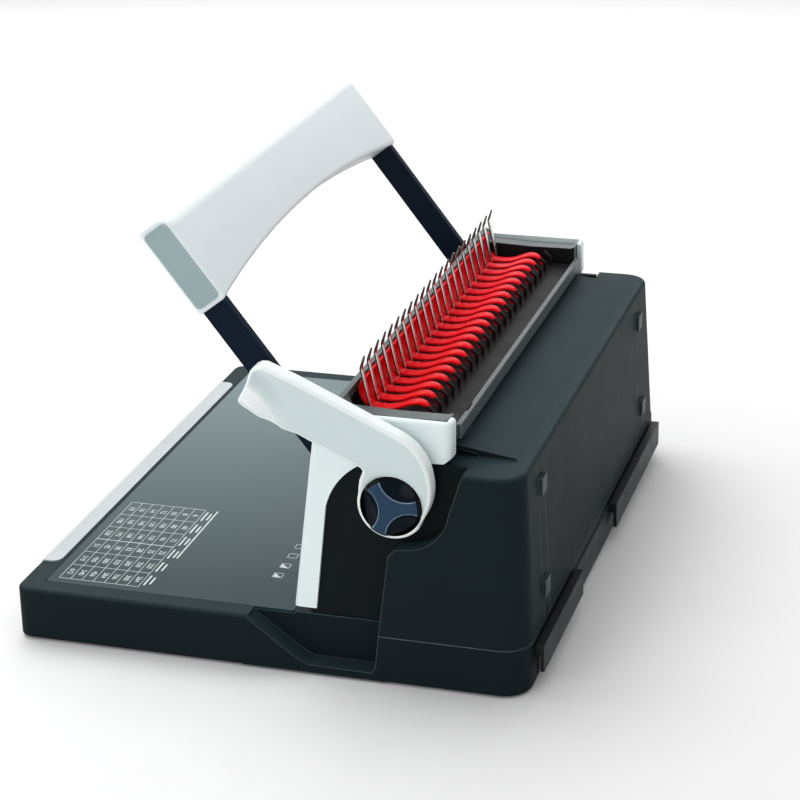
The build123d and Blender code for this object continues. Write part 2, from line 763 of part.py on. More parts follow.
rack_line = pivot_y - gear_radius
rack_root = rack_line - gear_dedendum
gear_pitch = 2 * pi * gear_radius / gear_teeth
with BuildPart() as punch_racks:
    for side in (-1, 1):
        with BuildSketch(Plane.YZ.offset(side * gear_x - gear_width / 2)):
            with Locations((rack_root - rack_back / 2, (rack_low + rack_high) / 2)):
                Rectangle(rack_back, rack_high - rack_low)
            with Locations(*[(rack_line, pivot_z + k * gear_pitch) for k in (-1, 0, 1, 2)]):
                Polygon(
                    (-gear_dedendum - 1, -2.7), (0, -tooth_at_pitch / 2),
                    (gear_addendum, -tooth_at_tip / 2), (gear_addendum, tooth_at_tip / 2),
                    (0, tooth_at_pitch / 2), (-gear_dedendum - 1, 2.7),
                    align=None,
                )
        extrude(amount=gear_width)
    with Locations((gear_x, (bar_rear + rack_root - rack_back) / 2, bar_under + 5)):
        Box(16, rack_root - rack_back - bar_rear, 10)
    with Locations((-gear_x, (bar_rear + rack_root - rack_back) / 2, bar_under + 5)):
        Box(16, rack_root - rack_back - bar_rear, 10)
punch_racks.part.label = "punch_racks"
export_step(punch_racks.part, "parts/punch_racks.step")

# ---- opener lever -----------------------------------------------------
with BuildPart() as opener_lever:
    with BuildSketch(Plane.YZ.offset(lever_inner)):
        with BuildLine():
            Polyline(
                (94.6, 104.6), (58.8, 124.0), (58.9, 130.0), (61.4, 136.2), (58.6, 138.2),
                (30.1, 151.0), (21.1, 155.3), (12.0, 157.3), (-12.1, 171.8), (-13.2, 174.0),
                (-7.6, 188.6), (-5.4, 192.6), (-1.2, 195.6), (2.6, 195.8), (21.5, 188.0),
                (81.6, 160.3),
            )
            ThreePointArc((81.6, 160.3), (95.4, 149.4), (101.6, 134.5))
            ThreePointArc((101.6, 134.5), (101.4, 118.6), (94.6, 104.6))
        make_face()
        with Locations((axis_y, axis_z)):
            Circle(hub_radius)
    extrude(amount=lever_outer - lever_inner)
    # thumb tab: the lower edge of the tip flares outwards
    with BuildSketch(Plane.YZ.offset(lever_outer)):
        with BuildLine():
            Polyline(
                (-13.2, 174.0), (-12.1, 171.8), (12.0, 157.3), (21.1, 155.7), (26.0, 161.0),
                (14.0, 172.5), (-8.9, 184.0), (-13.2, 174.0),
            )
        make_face()
    extrude(amount=tab_flare)
    with BuildSketch(scoop_plane):
        Circle(scoop_radius)
    extrude(amount=-60, mode=Mode.SUBTRACT)
    # pocket of the knob and bore of the hollow shaft
    with Locations(Location(((hub_floor + lever_outer) / 2, axis_y, axis_z), (0, 90, 0))):
        Cylinder(hub_bore, lever_outer - hub_floor, mode=Mode.SUBTRACT)
    with Locations(Location((lever_inner, axis_y, axis_z), (0, 90, 0))):
        Cylinder(tube_bore, 30, mode=Mode.SUBTRACT)
    fillet(opener_lever.faces().filter_by(Axis.X).sort_by(Axis.X)[-1].outer_wire().edges(), 0.8)
opener_lever.part.label = "opener_lever"
export_step(opener_lever.part, "parts/opener_lever.step")

with BuildPart() as lever_shaft:
    with Locations(Location(((lever_inner + tube_end) / 2, axis_y, axis_z), (0, 90, 0))):
        Cylinder(tube_radius, lever_inner - tube_end)
        Cylinder(tube_bore, lever_inner - tube_end + 2, mode=Mode.SUBTRACT)
lever_shaft.part.label = "lever_shaft"
export_step(lever_shaft.part, "parts/lever_shaft.step")

with BuildPart() as opener_pinion:
    with BuildSketch(Plane.YZ.offset(opener_gear_x - gear_width / 2)):
        with Locations((axis_y, axis_z)):
            Circle(opener_gear_radius - gear_dedendum)
            with PolarLocations(0, gear_teeth, 270 + 180 / gear_teeth):
                Polygon(
                    (opener_gear_radius - gear_dedendum - 1, -2.7),
                    (opener_gear_radius, -tooth_at_pitch / 2),
                    (opener_gear_radius + gear_addendum, -tooth_at_tip / 2),
                    (opener_gear_radius + gear_addendum, tooth_at_tip / 2),
                    (opener_gear_radius, tooth_at_pitch / 2),
                    (opener_gear_radius - gear_dedendum - 1, 2.7),
                    align=None,
                )
            Circle(tube_radius, mode=Mode.SUBTRACT)
    extrude(amount=gear_width)
opener_pinion.part.label = "opener_pinion"
export_step(opener_pinion.part, "parts/opener_pinion.step")

# ---- opener slide -----------------------------------------------------
with BuildPart() as hook_plate:
    with Locations((0, (hook_plate_front + hook_plate_rear) / 2, (hook_plate_low + hook_plate_top) / 2)):
        Box(2 * 154, hook_plate_rear - hook_plate_front, hook_plate_top - hook_plate_low)
    with BuildSketch(*[Plane.YZ.offset(x - hook_width / 2) for x in gap_x]):
        with BuildLine():
            Polyline(
                (90.5, 152), (90.5, 157.6), (87.0, 160.6), (88.0, 162.0), (92.6, 158.2),
                (92.6, 152), (90.5, 152),
            )
        make_face()
    extrude(amount=hook_width)
hook_plate.part.label = "hook_plate"
export_step(hook_plate.part, "parts/hook_plate.step")

opener_line = axis_z - opener_gear_radius
opener_root = opener_line - gear_dedendum
opener_pitch = 2 * pi * opener_gear_radius / gear_teeth
with BuildPart() as opener_rack:
    with BuildSketch(Plane.YZ.offset(opener_gear_x - gear_width / 2)):
        with Locations((83, opener_root - 3.5)):
            Rectangle(46, 7)
        with Locations(*[(axis_y + k * opener_pitch, opener_line) for k in (-1, 0, 1, 2)]):
            Polygon(
                (-2.7, -gear_dedendum - 1), (2.7, -gear_dedendum - 1),
                (tooth_at_pitch / 2, 0), (tooth_at_tip / 2, gear_addendum),
                (-tooth_at_tip / 2, gear_addendum), (-tooth_at_pitch / 2, 0),
                align=None,
            )
    extrude(amount=gear_width)
    with Locations((133.5, 102.5, (opener_root - 7 + hook_plate_low) / 2)):
        Box(9, 6, hook_plate_low - opener_root + 7)
    with Locations((138, 102.5, opener_root - 3.5)):
        Box(8, 6, 7)
opener_rack.part.label = "opener_rack"
export_step(opener_rack.part, "parts/opener_rack.step")

# ---- margin knob ------------------------------------------------------
with BuildPart() as margin_knob:
    with Locations(Location(((knob_back + knob_face) / 2, axis_y, axis_z), (0, 90, 0))):
        Cylinder(knob_radius, knob_face - knob_back)
    fillet(margin_knob.faces().sort_by(Axis.X)[-1].edges(), 1.6)
    # three finger scoops leave a three-armed web
    with Locations(Location((knob_face + 1.2, axis_y, axis_z), (0, 90, 0))):
        with PolarLocations(22.5, 3, 36):
            Cylinder(15.2, 9, mode=Mode.SUBTRACT)
margin_knob.part.label = "margin_knob"
export_step(margin_knob.part, "parts/margin_knob.step")

with BuildPart() as knob_spindle:
    with Locations(Location(((knob_back + spindle_end) / 2, axis_y, axis_z), (0, 90, 0))):
        Cylinder(spindle_radius, knob_back - spindle_end)
    with Locations(Location((cam_x, axis_y + cam_offset, axis_z), (0, 90, 0))):
        Cylinder(cam_radius, cam_width)
knob_spindle.part.label = "knob_spindle"
export_step(knob_spindle.part, "parts/knob_spindle.step")

# ---- margin stop ------------------------------------------------------
stop_gap = 0.7
stop_pad = axis_y - (cam_radius - cam_offset) - stop_gap
with BuildPart() as margin_stop:
    with Locations((0, 38.0, 37.3)):
        Box(2 * 149, 3, 3)
    with Locations((cam_x, 38.0, 74), (-cam_x, 38.0, 74)):
        Box(7, 3, 72)
    with Locations((cam_x, (36.5 + stop_pad) / 2, 117)):
        Box(7, stop_pad - 36.5, 16)
margin_stop.part.label = "margin_stop"
export_step(margin_stop.part, "parts/margin_stop.step")

# ---- chip drawer ------------------------------------------------------
with BuildPart() as drawer_floor:
    with BuildSketch(Plane.XY.offset(drawer_low)):
        with Locations((0, (drawer_front + tray_rear) / 2)):
            Rectangle(2 * drawer_half, tray_rear - drawer_front)
    extrude(amount=drawer_wall)
drawer_floor.part.label = "drawer_floor"
export_step(drawer_floor.part, "parts/drawer_floor.step")

with BuildPart() as drawer_walls:
    with BuildSketch(Plane.XY.offset(drawer_low + drawer_wall)):
        with Locations((0, (drawer_front + tray_rear) / 2)):
            Rectangle(2 * drawer_half, tray_rear - drawer_front)
        with Locations((0, (drawer_front + tray_rear - 1) / 2)):
            Rectangle(
                2 * (drawer_half - drawer_wall), tray_rear - 1 - drawer_front - 2 * drawer_wall,
                mode=Mode.SUBTRACT,
            )
    extrude(amount=drawer_high - drawer_low - drawer_wall)
drawer_walls.part.label = "drawer_walls"
export_step(drawer_walls.part, "parts/drawer_walls.step")

with BuildPart() as drawer_lip:
    with BuildSketch(Plane.YZ.offset(-lip_half)):
        with BuildLine():
            Polyline(
                (tray_rear, 21.5), (lip_face - lip_thick, 21.5), (lip_face - lip_thick, lip_low),
                (lip_face, lip_low), (lip_face, lip_high), (tray_rear, lip_high),
                (tray_rear, 21.5),
            )
        make_face()
    extrude(amount=2 * lip_half)
    # finger notch in the lip
    with Locations(((notch_near + notch_far) / 2, lip_face, 15)):
        Box(notch_near - notch_far, 2 * (lip_face - tray_rear), 30, mode=Mode.SUBTRACT)
drawer_lip.part.label = "drawer_lip"
export_step(drawer_lip.part, "parts/drawer_lip.step")

# ---- red comb ---------------------------------------------------------
with BuildPart() as binding_comb:
    with BuildSketch(Plane.YZ.offset(-spine_half)):
        with BuildLine():
            ThreePointArc((46.6, 174.6), (44.6, 165.8), (50.2, 157.4))
            ThreePointArc((47.9, 173.6), (46.2, 165.8), (51.2, 158.6))
            Line((46.6, 174.6), (47.9, 173.6))
            Line((50.2, 157.4), (51.2, 158.6))
        make_face()
    extrude(amount=2 * spine_half)
    with BuildSketch(*[Plane.YZ.offset(x - ring_width / 2) for x in ring_x]):
        with BuildLine():
            Spline(
                (50.2, 157.4), (53.4, 155.0), (60, 155.0), (68, 156.2), (75, 160.2),
                (81, 161.6), (85.6, 158.6), (87.2, 154.4),
            )
            Line((87.2, 154.4), (88.6, 154.9))
            Spline(
                (88.6, 154.9), (86.8, 159.8), (81.4, 163.1), (74.4, 161.6),
                (67.4, 157.6), (60, 156.5), (54.2, 156.5), (51.2, 158.6),
            )
            Line((51.2, 158.6), (50.2, 157.4))
        make_face()
    extrude(amount=ring_width)
binding_comb.part.label = "binding_comb"
export_step(binding_comb.part, "parts/binding_comb.step")
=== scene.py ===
import json
import math

import bmesh
import bpy
from mathutils import Matrix, Vector
from mathutils.geometry import delaunay_2d_cdt


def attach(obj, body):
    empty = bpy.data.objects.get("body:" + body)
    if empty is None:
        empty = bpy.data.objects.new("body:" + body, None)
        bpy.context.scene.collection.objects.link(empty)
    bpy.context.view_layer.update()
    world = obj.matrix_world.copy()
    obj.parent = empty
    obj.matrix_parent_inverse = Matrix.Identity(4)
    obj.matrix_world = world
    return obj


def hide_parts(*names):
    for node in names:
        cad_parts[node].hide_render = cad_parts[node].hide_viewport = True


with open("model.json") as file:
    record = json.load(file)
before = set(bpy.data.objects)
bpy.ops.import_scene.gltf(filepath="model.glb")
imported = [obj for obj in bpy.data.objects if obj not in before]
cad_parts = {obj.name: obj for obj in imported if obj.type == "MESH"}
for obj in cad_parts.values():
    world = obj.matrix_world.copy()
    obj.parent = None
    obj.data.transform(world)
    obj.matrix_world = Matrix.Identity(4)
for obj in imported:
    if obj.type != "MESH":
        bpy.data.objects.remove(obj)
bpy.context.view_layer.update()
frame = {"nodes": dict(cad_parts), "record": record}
NODES = frame["nodes"]
MM = 0.001

# ---- camera -----------------------------------------------------------
CAMERA_AT = (1.3853, 0.4481, 0.6785)
LOOK = Vector((-0.88845, -0.27129, -0.37023)).normalized()
RIGHT = Vector((-0.28524, 0.95830, -0.01771)).normalized()
FOCAL_MM = 105.7

camera_data = bpy.data.cameras.new("camera")
camera_data.lens = FOCAL_MM
camera_data.sensor_width = 36.0
camera_data.dof.use_dof = False
camera = bpy.data.objects.new("camera", camera_data)
bpy.context.scene.collection.objects.link(camera)
up = RIGHT.cross(LOOK).normalized()
camera.matrix_world = Matrix(
    (
        (RIGHT.x, up.x, -LOOK.x, CAMERA_AT[0]),
        (RIGHT.y, up.y, -LOOK.y, CAMERA_AT[1]),
        (RIGHT.z, up.z, -LOOK.z, CAMERA_AT[2]),
        (0, 0, 0, 1),
    )
)
bpy.context.scene.camera = camera


# ---- materials --------------------------------------------------------
CLOUD_SCALE = 14
WEAR_SCALE = 60
GRAIN_DEPTH = 0.0002
LEAST_ROUGHNESS = 0.02


def new_material(name):
    """An empty node material with its shader, output and object coordinates."""
    mat = bpy.data.materials.new(name)
    mat.use_nodes = True
    nt = mat.node_tree
    nt.nodes.clear()
    out = nt.nodes.new("ShaderNodeOutputMaterial")
    shader = nt.nodes.new("ShaderNodeBsdfPrincipled")
    nt.links.new(shader.outputs["BSDF"], out.inputs["Surface"])
    coord = nt.nodes.new("ShaderNodeTexCoord")
    return mat, nt, shader, coord.outputs["Object"]


def noise(nt, vector, scale, detail=3.0, stretch=None):
    """Fractal noise in object space, scale in features per metre."""
    if stretch:
        mapping = nt.nodes.new("ShaderNodeMapping")
        mapping.inputs["Scale"].default_value = stretch
        nt.links.new(vector, mapping.inputs["Vector"])
        vector = mapping.outputs["Vector"]
    tex = nt.nodes.new("ShaderNodeTexNoise")
    tex.inputs["Scale"].default_value = scale
    tex.inputs["Detail"].default_value = detail
    nt.links.new(vector, tex.inputs["Vector"])
    return tex.outputs["Fac"]


def span(nt, value, low, high, from_low=0.3, from_high=0.7):
    """A factor remapped to the range low to high."""
    node = nt.nodes.new("ShaderNodeMapRange")
    node.inputs["From Min"].default_value = from_low
    node.inputs["From Max"].default_value = from_high
    node.inputs["To Min"].default_value = low
    node.inputs["To Max"].default_value = high
    nt.links.new(value, node.inputs["Value"])
    return node.outputs["Result"]


def blend_colours(nt, factor, first, second):
    """A colour between two, each a tuple or a socket."""
    node = nt.nodes.new("ShaderNodeMix")
    node.data_type = "RGBA"
    nt.links.new(factor, node.inputs["Factor"])
    for socket, colour in ((node.inputs["A"], first), (node.inputs["B"], second)):
        if isinstance(colour, tuple):
            socket.default_value = (*colour, 1)
        else:
            nt.links.new(colour, socket)
    return node.outputs["Result"]


def edge_factor(nt, radius, low=0.02, high=0.25):
    """Mask of the painted edge highlight: one on the corners of a shape, nought on its faces."""
    bevel = nt.nodes.new("ShaderNodeBevel")
    bevel.samples = 4
    bevel.inputs["Radius"].default_value = radius
    surface = nt.nodes.new("ShaderNodeNewGeometry")
    dot = nt.nodes.new("ShaderNodeVectorMath")
    dot.operation = "DOT_PRODUCT"
    nt.links.new(bevel.outputs["Normal"], dot.inputs[0])
    nt.links.new(surface.outputs["Normal"], dot.inputs[1])
    node = nt.nodes.new("ShaderNodeMapRange")
    node.inputs["From Min"].default_value = 1 - low
    node.inputs["From Max"].default_value = 1 - high
    nt.links.new(dot.outputs["Value"], node.inputs["Value"])
    return node.outputs["Result"]


def scaled(colour, k):
    """A colour made paler or darker by a factor."""
    return tuple(min(1.0, c * k) for c in colour)


def moulded(
    name, colour, rough, vary=0.08, grain=2200, bump=0.12, metallic=0.0,
    edge=None, highlight_radius=0.0008, specular=0.5, smudge=0.05, stretch=None,
    tint=(1.0, 1.0, 1.0),
):
    """Moulded, painted or ground surface: cloudy colour, fine grain, painted highlights on the
    edges.
    """
    mat, nt, shader, vector = new_material(name)
    cloud = noise(nt, vector, CLOUD_SCALE, 5)
    base = blend_colours(
        nt, span(nt, cloud, 0, 1), scaled(colour, 1 - vary), scaled(colour, 1 + vary)
    )
    # The edge colour is a painted highlight on the corners of the shape.
    if edge:
        base = blend_colours(nt, edge_factor(nt, highlight_radius), base, edge)
    nt.links.new(base, shader.inputs["Base Color"])
    wear = noise(nt, vector, WEAR_SCALE, 6, stretch)
    smoothest = max(LEAST_ROUGHNESS, rough - smudge)
    nt.links.new(span(nt, wear, smoothest, rough + smudge), shader.inputs["Roughness"])
    fine = noise(nt, vector, grain, 2, stretch)
    bump_node = nt.nodes.new("ShaderNodeBump")
    bump_node.inputs["Strength"].default_value = bump
    bump_node.inputs["Distance"].default_value = GRAIN_DEPTH
    nt.links.new(fine, bump_node.inputs["Height"])
    nt.links.new(bump_node.outputs["Normal"], shader.inputs["Normal"])
    shader.inputs["Metallic"].default_value = metallic
    shader.inputs["Specular IOR Level"].default_value = specular
    shader.inputs["Specular Tint"].default_value = (*tint, 1.0)
    return mat


# The edge colours in this table are painted highlights on the corners.
MATERIALS = {
    "charcoal_shell": moulded(
        "charcoal_shell", (0.0085, 0.0150, 0.0185), 0.46, edge=(0.17, 0.20, 0.21), vary=0.05,
        specular=0.03, smudge=0.02,
    ),
    "deck_panel": moulded(
        "deck_panel", (0.0100, 0.0330, 0.0400), 0.36, vary=0.05, bump=0.05, specular=0.10,
        smudge=0.015, tint=(0.78, 0.96, 1.0)
    ),
    "silver_trim": moulded(
        "silver_trim", (0.43, 0.475, 0.50), 0.40, metallic=0.10, edge=(0.80, 0.84, 0.85)
    ),
    "black_sheet": moulded("black_sheet", (0.012, 0.012, 0.013), 0.55, grain=900, bump=0.3),
    "zinc_screw": moulded("zinc_screw", (0.5, 0.5, 0.48), 0.35, metallic=1.0, grain=3000),
    "foot_rubber": moulded("foot_rubber", (0.012, 0.012, 0.012), 0.8, grain=1500, bump=0.4),
    "tool_steel": moulded(
        "tool_steel", (0.42, 0.43, 0.45), 0.3, metallic=1.0, stretch=(0.06, 1, 1)
    ),
    "dark_cheek": moulded(
        "dark_cheek", (0.0040, 0.0070, 0.0085), 0.48, edge=(0.04, 0.05, 0.055), bump=0.10,
        specular=0.08, smudge=0.02,
    ),
    "silver_shell": moulded(
        "silver_shell", (0.80, 0.895, 0.90), 0.40, edge=(0.95, 0.97, 0.97),
        vary=0.03, bump=0.04,
    ),
    "platform_grey": moulded(
        "platform_grey", (0.075, 0.095, 0.098), 0.42, edge=(0.36, 0.42, 0.43), vary=0.04,
        specular=0.3
    ),
    "polished_steel": moulded(
        "polished_steel", (0.80, 0.775, 0.74), 0.24, metallic=1.0, vary=0.04, grain=1200,
        bump=0.05, stretch=(1, 1, 0.1),
    ),
    "zinc_sheet": moulded(
        "zinc_sheet", (0.48, 0.49, 0.5), 0.42, metallic=1.0, grain=400, bump=0.05
    ),
    "dark_steel": moulded(
        "dark_steel", (0.008, 0.0075, 0.008), 0.45, grain=900, bump=0.06, specular=0.05,
        edge=(0.16, 0.05, 0.06), highlight_radius=0.0004,
    ),
    "bush_plastic": moulded("bush_plastic", (0.02, 0.02, 0.022), 0.5),
    "charcoal_lug": moulded(
        "charcoal_lug", (0.024, 0.036, 0.040), 0.42, edge=(0.16, 0.19, 0.2), specular=0.2
    ),
    "navy_arm": moulded(
        "navy_arm", (0.0030, 0.0090, 0.0200), 0.26, edge=(0.02, 0.07, 0.13),
        vary=0.15, bump=0.03, specular=0.06,
    ),
    "silver_grip": moulded(
        "silver_grip", (0.79, 0.86, 0.885), 0.42, edge=(0.92, 0.95, 0.96),
        vary=0.02, bump=0.04,
    ),
    "grip_cap": moulded("grip_cap", (0.29, 0.39, 0.405), 0.44, vary=0.05, edge=(0.6, 0.68, 0.70)),
    "navy_knob": moulded(
        "navy_knob", (0.0060, 0.0200, 0.048), 0.26, edge=(0.25, 0.38, 0.52),
        vary=0.15, bump=0.02, specular=0.22,
    ),
    "black_drawer": moulded(
        "black_drawer", (0.008, 0.012, 0.014), 0.45, edge=(0.05, 0.06, 0.06), specular=0.15
    ),
    "red_comb": moulded(
        "red_comb", (0.78, 0.0020, 0.0040), 0.30, vary=0.06, bump=0.03, grain=900,
        edge=(0.90, 0.02, 0.06), highlight_radius=0.0004, specular=0.05,
    ),
}


def take_base(mat):
    """A material's tree, its shader and the socket that fed its base colour, now free."""
    nt = mat.node_tree
    shader = next(n for n in nt.nodes if n.type == "BSDF_PRINCIPLED")
    link = shader.inputs["Base Color"].links[0]
    base = link.from_socket
    nt.links.remove(link)
    return nt, shader, base


def darken_below(mat, height, half, front, rear, colour):
    """Paints shade into the inside of a recess: a darker colour, from its place alone."""
    nt, shader, base = take_base(mat)
    coord = next(n for n in nt.nodes if n.type == "TEX_COORD")
    split = nt.nodes.new("ShaderNodeSeparateXYZ")
    nt.links.new(coord.outputs["Object"], split.inputs["Vector"])
    wide = nt.nodes.new("ShaderNodeMath")
    wide.operation = "ABSOLUTE"
    nt.links.new(split.outputs["X"], wide.inputs[0])
    factor = None
    for socket, operation, limit in (
        (split.outputs["Z"], "LESS_THAN", height), (wide.outputs["Value"], "LESS_THAN", half),
        (split.outputs["Y"], "GREATER_THAN", front), (split.outputs["Y"], "LESS_THAN", rear),
    ):
        test = nt.nodes.new("ShaderNodeMath")
        test.operation = operation
        nt.links.new(socket, test.inputs[0])
        test.inputs[1].default_value = limit
        if factor is None:
            factor = test.outputs["Value"]
        else:
            both = nt.nodes.new("ShaderNodeMath")
            both.operation = "MULTIPLY"
            nt.links.new(factor, both.inputs[0])
            nt.links.new(test.outputs["Value"], both.inputs[1])
            factor = both.outputs["Value"]
    nt.links.new(blend_colours(nt, factor, base, colour), shader.inputs["Base Color"])


def shade_along(mat, start, end, colour):
    """Painted light: a colour gains on the base colour from one place to another along X."""
    nt, shader, base = take_base(mat)
    coord = next(n for n in nt.nodes if n.type == "TEX_COORD")
    split = nt.nodes.new("ShaderNodeSeparateXYZ")
    nt.links.new(coord.outputs["Object"], split.inputs["Vector"])
    factor = span(nt, split.outputs["X"], 0.0, 1.0, start, end)
    nt.links.new(blend_colours(nt, factor, base, colour), shader.inputs["Base Color"])


def shade_by_slope(mat, down, up, reach):
    """Painted light and shade: faces turned up gain a paler tone, faces turned down a darker one.
    """
    nt, shader, base = take_base(mat)
    geometry_node = nt.nodes.new("ShaderNodeNewGeometry")
    split = nt.nodes.new("ShaderNodeSeparateXYZ")
    nt.links.new(geometry_node.outputs["Normal"], split.inputs["Vector"])
    rising = span(nt, split.outputs["Z"], 0.0, 1.0, 0.02, reach)
    falling = span(nt, split.outputs["Z"], 0.0, 1.0, -0.02, -reach)
    paler = blend_colours(nt, rising, base, up)
    nt.links.new(blend_colours(nt, falling, paler, down), shader.inputs["Base Color"])


# Painted shade: the inside of the comb trough is darkened in its colour.
TROUGH_SHADE = {"height": 0.1640, "half": 0.1602, "front": 0.0412, "rear": 0.1078}
darken_below(MATERIALS["platform_grey"], **TROUGH_SHADE, colour=(0.006, 0.006, 0.007))
LEVER_SILVER = moulded(
    "lever_silver", (0.62, 0.715, 0.72), 0.40, vary=0.03, bump=0.04, edge=(0.92, 0.95, 0.95)
)
# Painted highlight: a paler copy of the lever silver for the rolled edge.
LEVER_EDGE_HIGHLIGHT = moulded("lever_edge_highlight", (0.86, 0.91, 0.91), 0.32, vary=0.02, bump=0.03)
KNOB_WEB = moulded(
    "knob_web", (0.0130, 0.0420, 0.0900), 0.24, vary=0.12, bump=0.02, specular=0.2,
    edge=(0.10, 0.2, 0.3), highlight_radius=0.0005,
)
# Painted shade: a darker copy of the knob's navy for the inside of the scoops.
KNOB_SCOOP_SHADE = moulded(
    "knob_scoop_shade", (0.0020, 0.0055, 0.0120), 0.22, vary=0.2, bump=0.02, specular=0.08
)
# Painted highlight: a paler copy of the knob's navy for the ridges between the scoops.
KNOB_RIDGE_HIGHLIGHT = moulded("knob_ridge_highlight", (0.16, 0.27, 0.34), 0.25, vary=0.1, bump=0.02)
GLOSS_BLACK = moulded("gloss_black", (0.0015, 0.0018, 0.0022), 0.3, vary=0.1, specular=0.1)
PALE_PRINT = moulded("pale_print", (0.66, 0.71, 0.71), 0.6, vary=0.10, bump=0.05)
SEAM_BLACK = moulded("seam_black", (0.003, 0.003, 0.003), 0.7, vary=0.1, bump=0.1)
# Painted dark reflection on the finger tips and painted shade on their narrow sides; the edge
# colour is a painted highlight.
STEEL_PAINTED_DARK = moulded(
    "steel_painted_dark", (0.085, 0.065, 0.060), 0.30, metallic=0.9, vary=0.15, bump=0.05,
    edge=(0.75, 0.72, 0.68), highlight_radius=0.0003,
)

# Painted reflection: the deck grows paler towards its far end.
shade_along(MATERIALS["deck_panel"], 0.17, -0.16, (0.150, 0.210, 0.222))
# Painted light: the comb's red grows brighter towards its far end.
shade_along(MATERIALS["red_comb"], 0.17, -0.17, (0.86, 0.006, 0.020))
# Painted highlight on the lever's upturned faces and painted shade on its downturned ones.
shade_by_slope(LEVER_SILVER, (0.40, 0.47, 0.48), (0.95, 0.97, 0.97), 0.42)
# Painted light and shade on the charcoal shell: paler on upturned faces, darker on downturned ones.
shade_by_slope(MATERIALS["charcoal_shell"], (0.005, 0.009, 0.011), (0.020, 0.036, 0.041), 0.9)

SLOT_OF = {row["node"]: row["material_slot"] for row in frame["record"]["subparts"]}
for node_name, node in NODES.items():
    for material_slot in node.material_slots:
        material_slot.material = MATERIALS[SLOT_OF[node_name]]


# ---- softened edges on the kept shapes --------------------------------
def soften(node_name, width, segments=2, angle=35):
    """Breaks the sharp edges of a kept shape by a small radius."""
    node = NODES[node_name]
    weld = node.modifiers.new("weld", "WELD")
    weld.merge_threshold = 0.00001
    bevel = node.modifiers.new("edges", "BEVEL")
    bevel.width = width
    bevel.segments = segments
    bevel.limit_method = "ANGLE"
    bevel.angle_limit = math.radians(angle)
    bevel.use_clamp_overlap = True
    bevel.harden_normals = False
    normals = node.modifiers.new("normals", "WEIGHTED_NORMAL")
    normals.keep_sharp = False


for name, width, segments in (
    ("rear_housing", 0.0007, 2), ("comb_platform", 0.0005, 2), ("drawer_lip", 0.0005, 2),
    ("rear_lugs", 0.0005, 2), ("handle_arm_right", 0.0007, 3), ("handle_arm_left", 0.0007, 3),
    ("cheek_right", 0.0004, 1), ("cheek_left", 0.0004, 1), ("front_fascia", 0.0004, 1),
    ("end_frame_right", 0.0008, 3), ("end_frame_left", 0.0008, 3),
    ("front_trim_strip", 0.0003, 2), ("grip_cap_right", 0.0008, 3),
    ("grip_cap_left", 0.0008, 3), ("hook_plate", 0.0002, 1),
):
    soften(name, width, segments)


# ---- mesh helpers -----------------------------------------------------
def mesh_piece(name, points, faces, materials, body, smooth=True):
    """A mesh piece in the shared frame, riding on a body."""
    mesh = bpy.data.meshes.new(name)
    mesh.from_pydata([tuple(p) for p in points], [], faces)
    mesh.validate()
    for mat in materials:
        mesh.materials.append(mat)
    shape = bmesh.new()
    shape.from_mesh(mesh)
    bmesh.ops.remove_doubles(shape, verts=shape.verts, dist=0.000002)
    bmesh.ops.recalc_face_normals(shape, faces=shape.faces)
    for face in shape.faces:
        face.smooth = smooth
    shape.to_mesh(mesh)
    shape.free()
    piece = bpy.data.objects.new(name, mesh)
    bpy.context.scene.collection.objects.link(piece)
    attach(piece, body)
    return piece


def crease(piece, angle):
    """Creases above the angle stay sharp, all else is shaded smooth."""
    limit = math.radians(angle)
    shape = bmesh.new()
    shape.from_mesh(piece.data)
    for edge in shape.edges:
        if len(edge.link_faces) == 2 and edge.calc_face_angle(0) > limit:
            edge.smooth = False
    shape.to_mesh(piece.data)
    shape.free()


def ring_faces(rows, columns):
    """Quads between successive closed rows of points of equal length."""
    faces = []
    for row in range(rows - 1):
        for column in range(columns):
            after = (column + 1) % columns
            faces.append(
                (
                    row * columns + column, row * columns + after,
                    (row + 1) * columns + after, (row + 1) * columns + column,
                )
            )
    return faces


def resample(points, step):
    """Points at even spacing along a closed line of corners."""
    result = []
    for first, second in zip(points, points[1:] + points[:1]):
        length = math.dist(first, second)
        parts = max(1, round(length / step))
        for part in range(parts):
            k = part / parts
            result.append(tuple(a + (b - a) * k for a, b in zip(first, second)))
    return result


def arc_through(first, middle, last, parts):
    """Points of the arc through three points in a plane, without the last one."""
    ax, ay = first
    bx, by = middle
    cx, cy = last
    d = 2 * (ax * (by - cy) + bx * (cy - ay) + cx * (ay - by))
    ux = (
        (ax * ax + ay * ay) * (by - cy) + (bx * bx + by * by) * (cy - ay)
        + (cx * cx + cy * cy) * (ay - by)
    ) / d
    uy = (
        (ax * ax + ay * ay) * (cx - bx) + (bx * bx + by * by) * (ax - cx)
        + (cx * cx + cy * cy) * (bx - ax)
    ) / d
    radius = math.dist((ux, uy), first)
    start = math.atan2(ay - uy, ax - ux)
    mid = math.atan2(by - uy, bx - ux)
    end = math.atan2(cy - uy, cx - ux)
    turn = 2 * math.pi
    forward = (mid - start) % turn < (end - start) % turn
    sweep = (end - start) % turn if forward else -((start - end) % turn)
    return [
        (
            ux + radius * math.cos(start + sweep * k / parts),
            uy + radius * math.sin(start + sweep * k / parts),
        )
        for k in range(parts)
    ]


def ease(value):
    """Smooth step from nought to one."""
    value = max(0.0, min(1.0, value))
    return value * value * (3 - 2 * value)


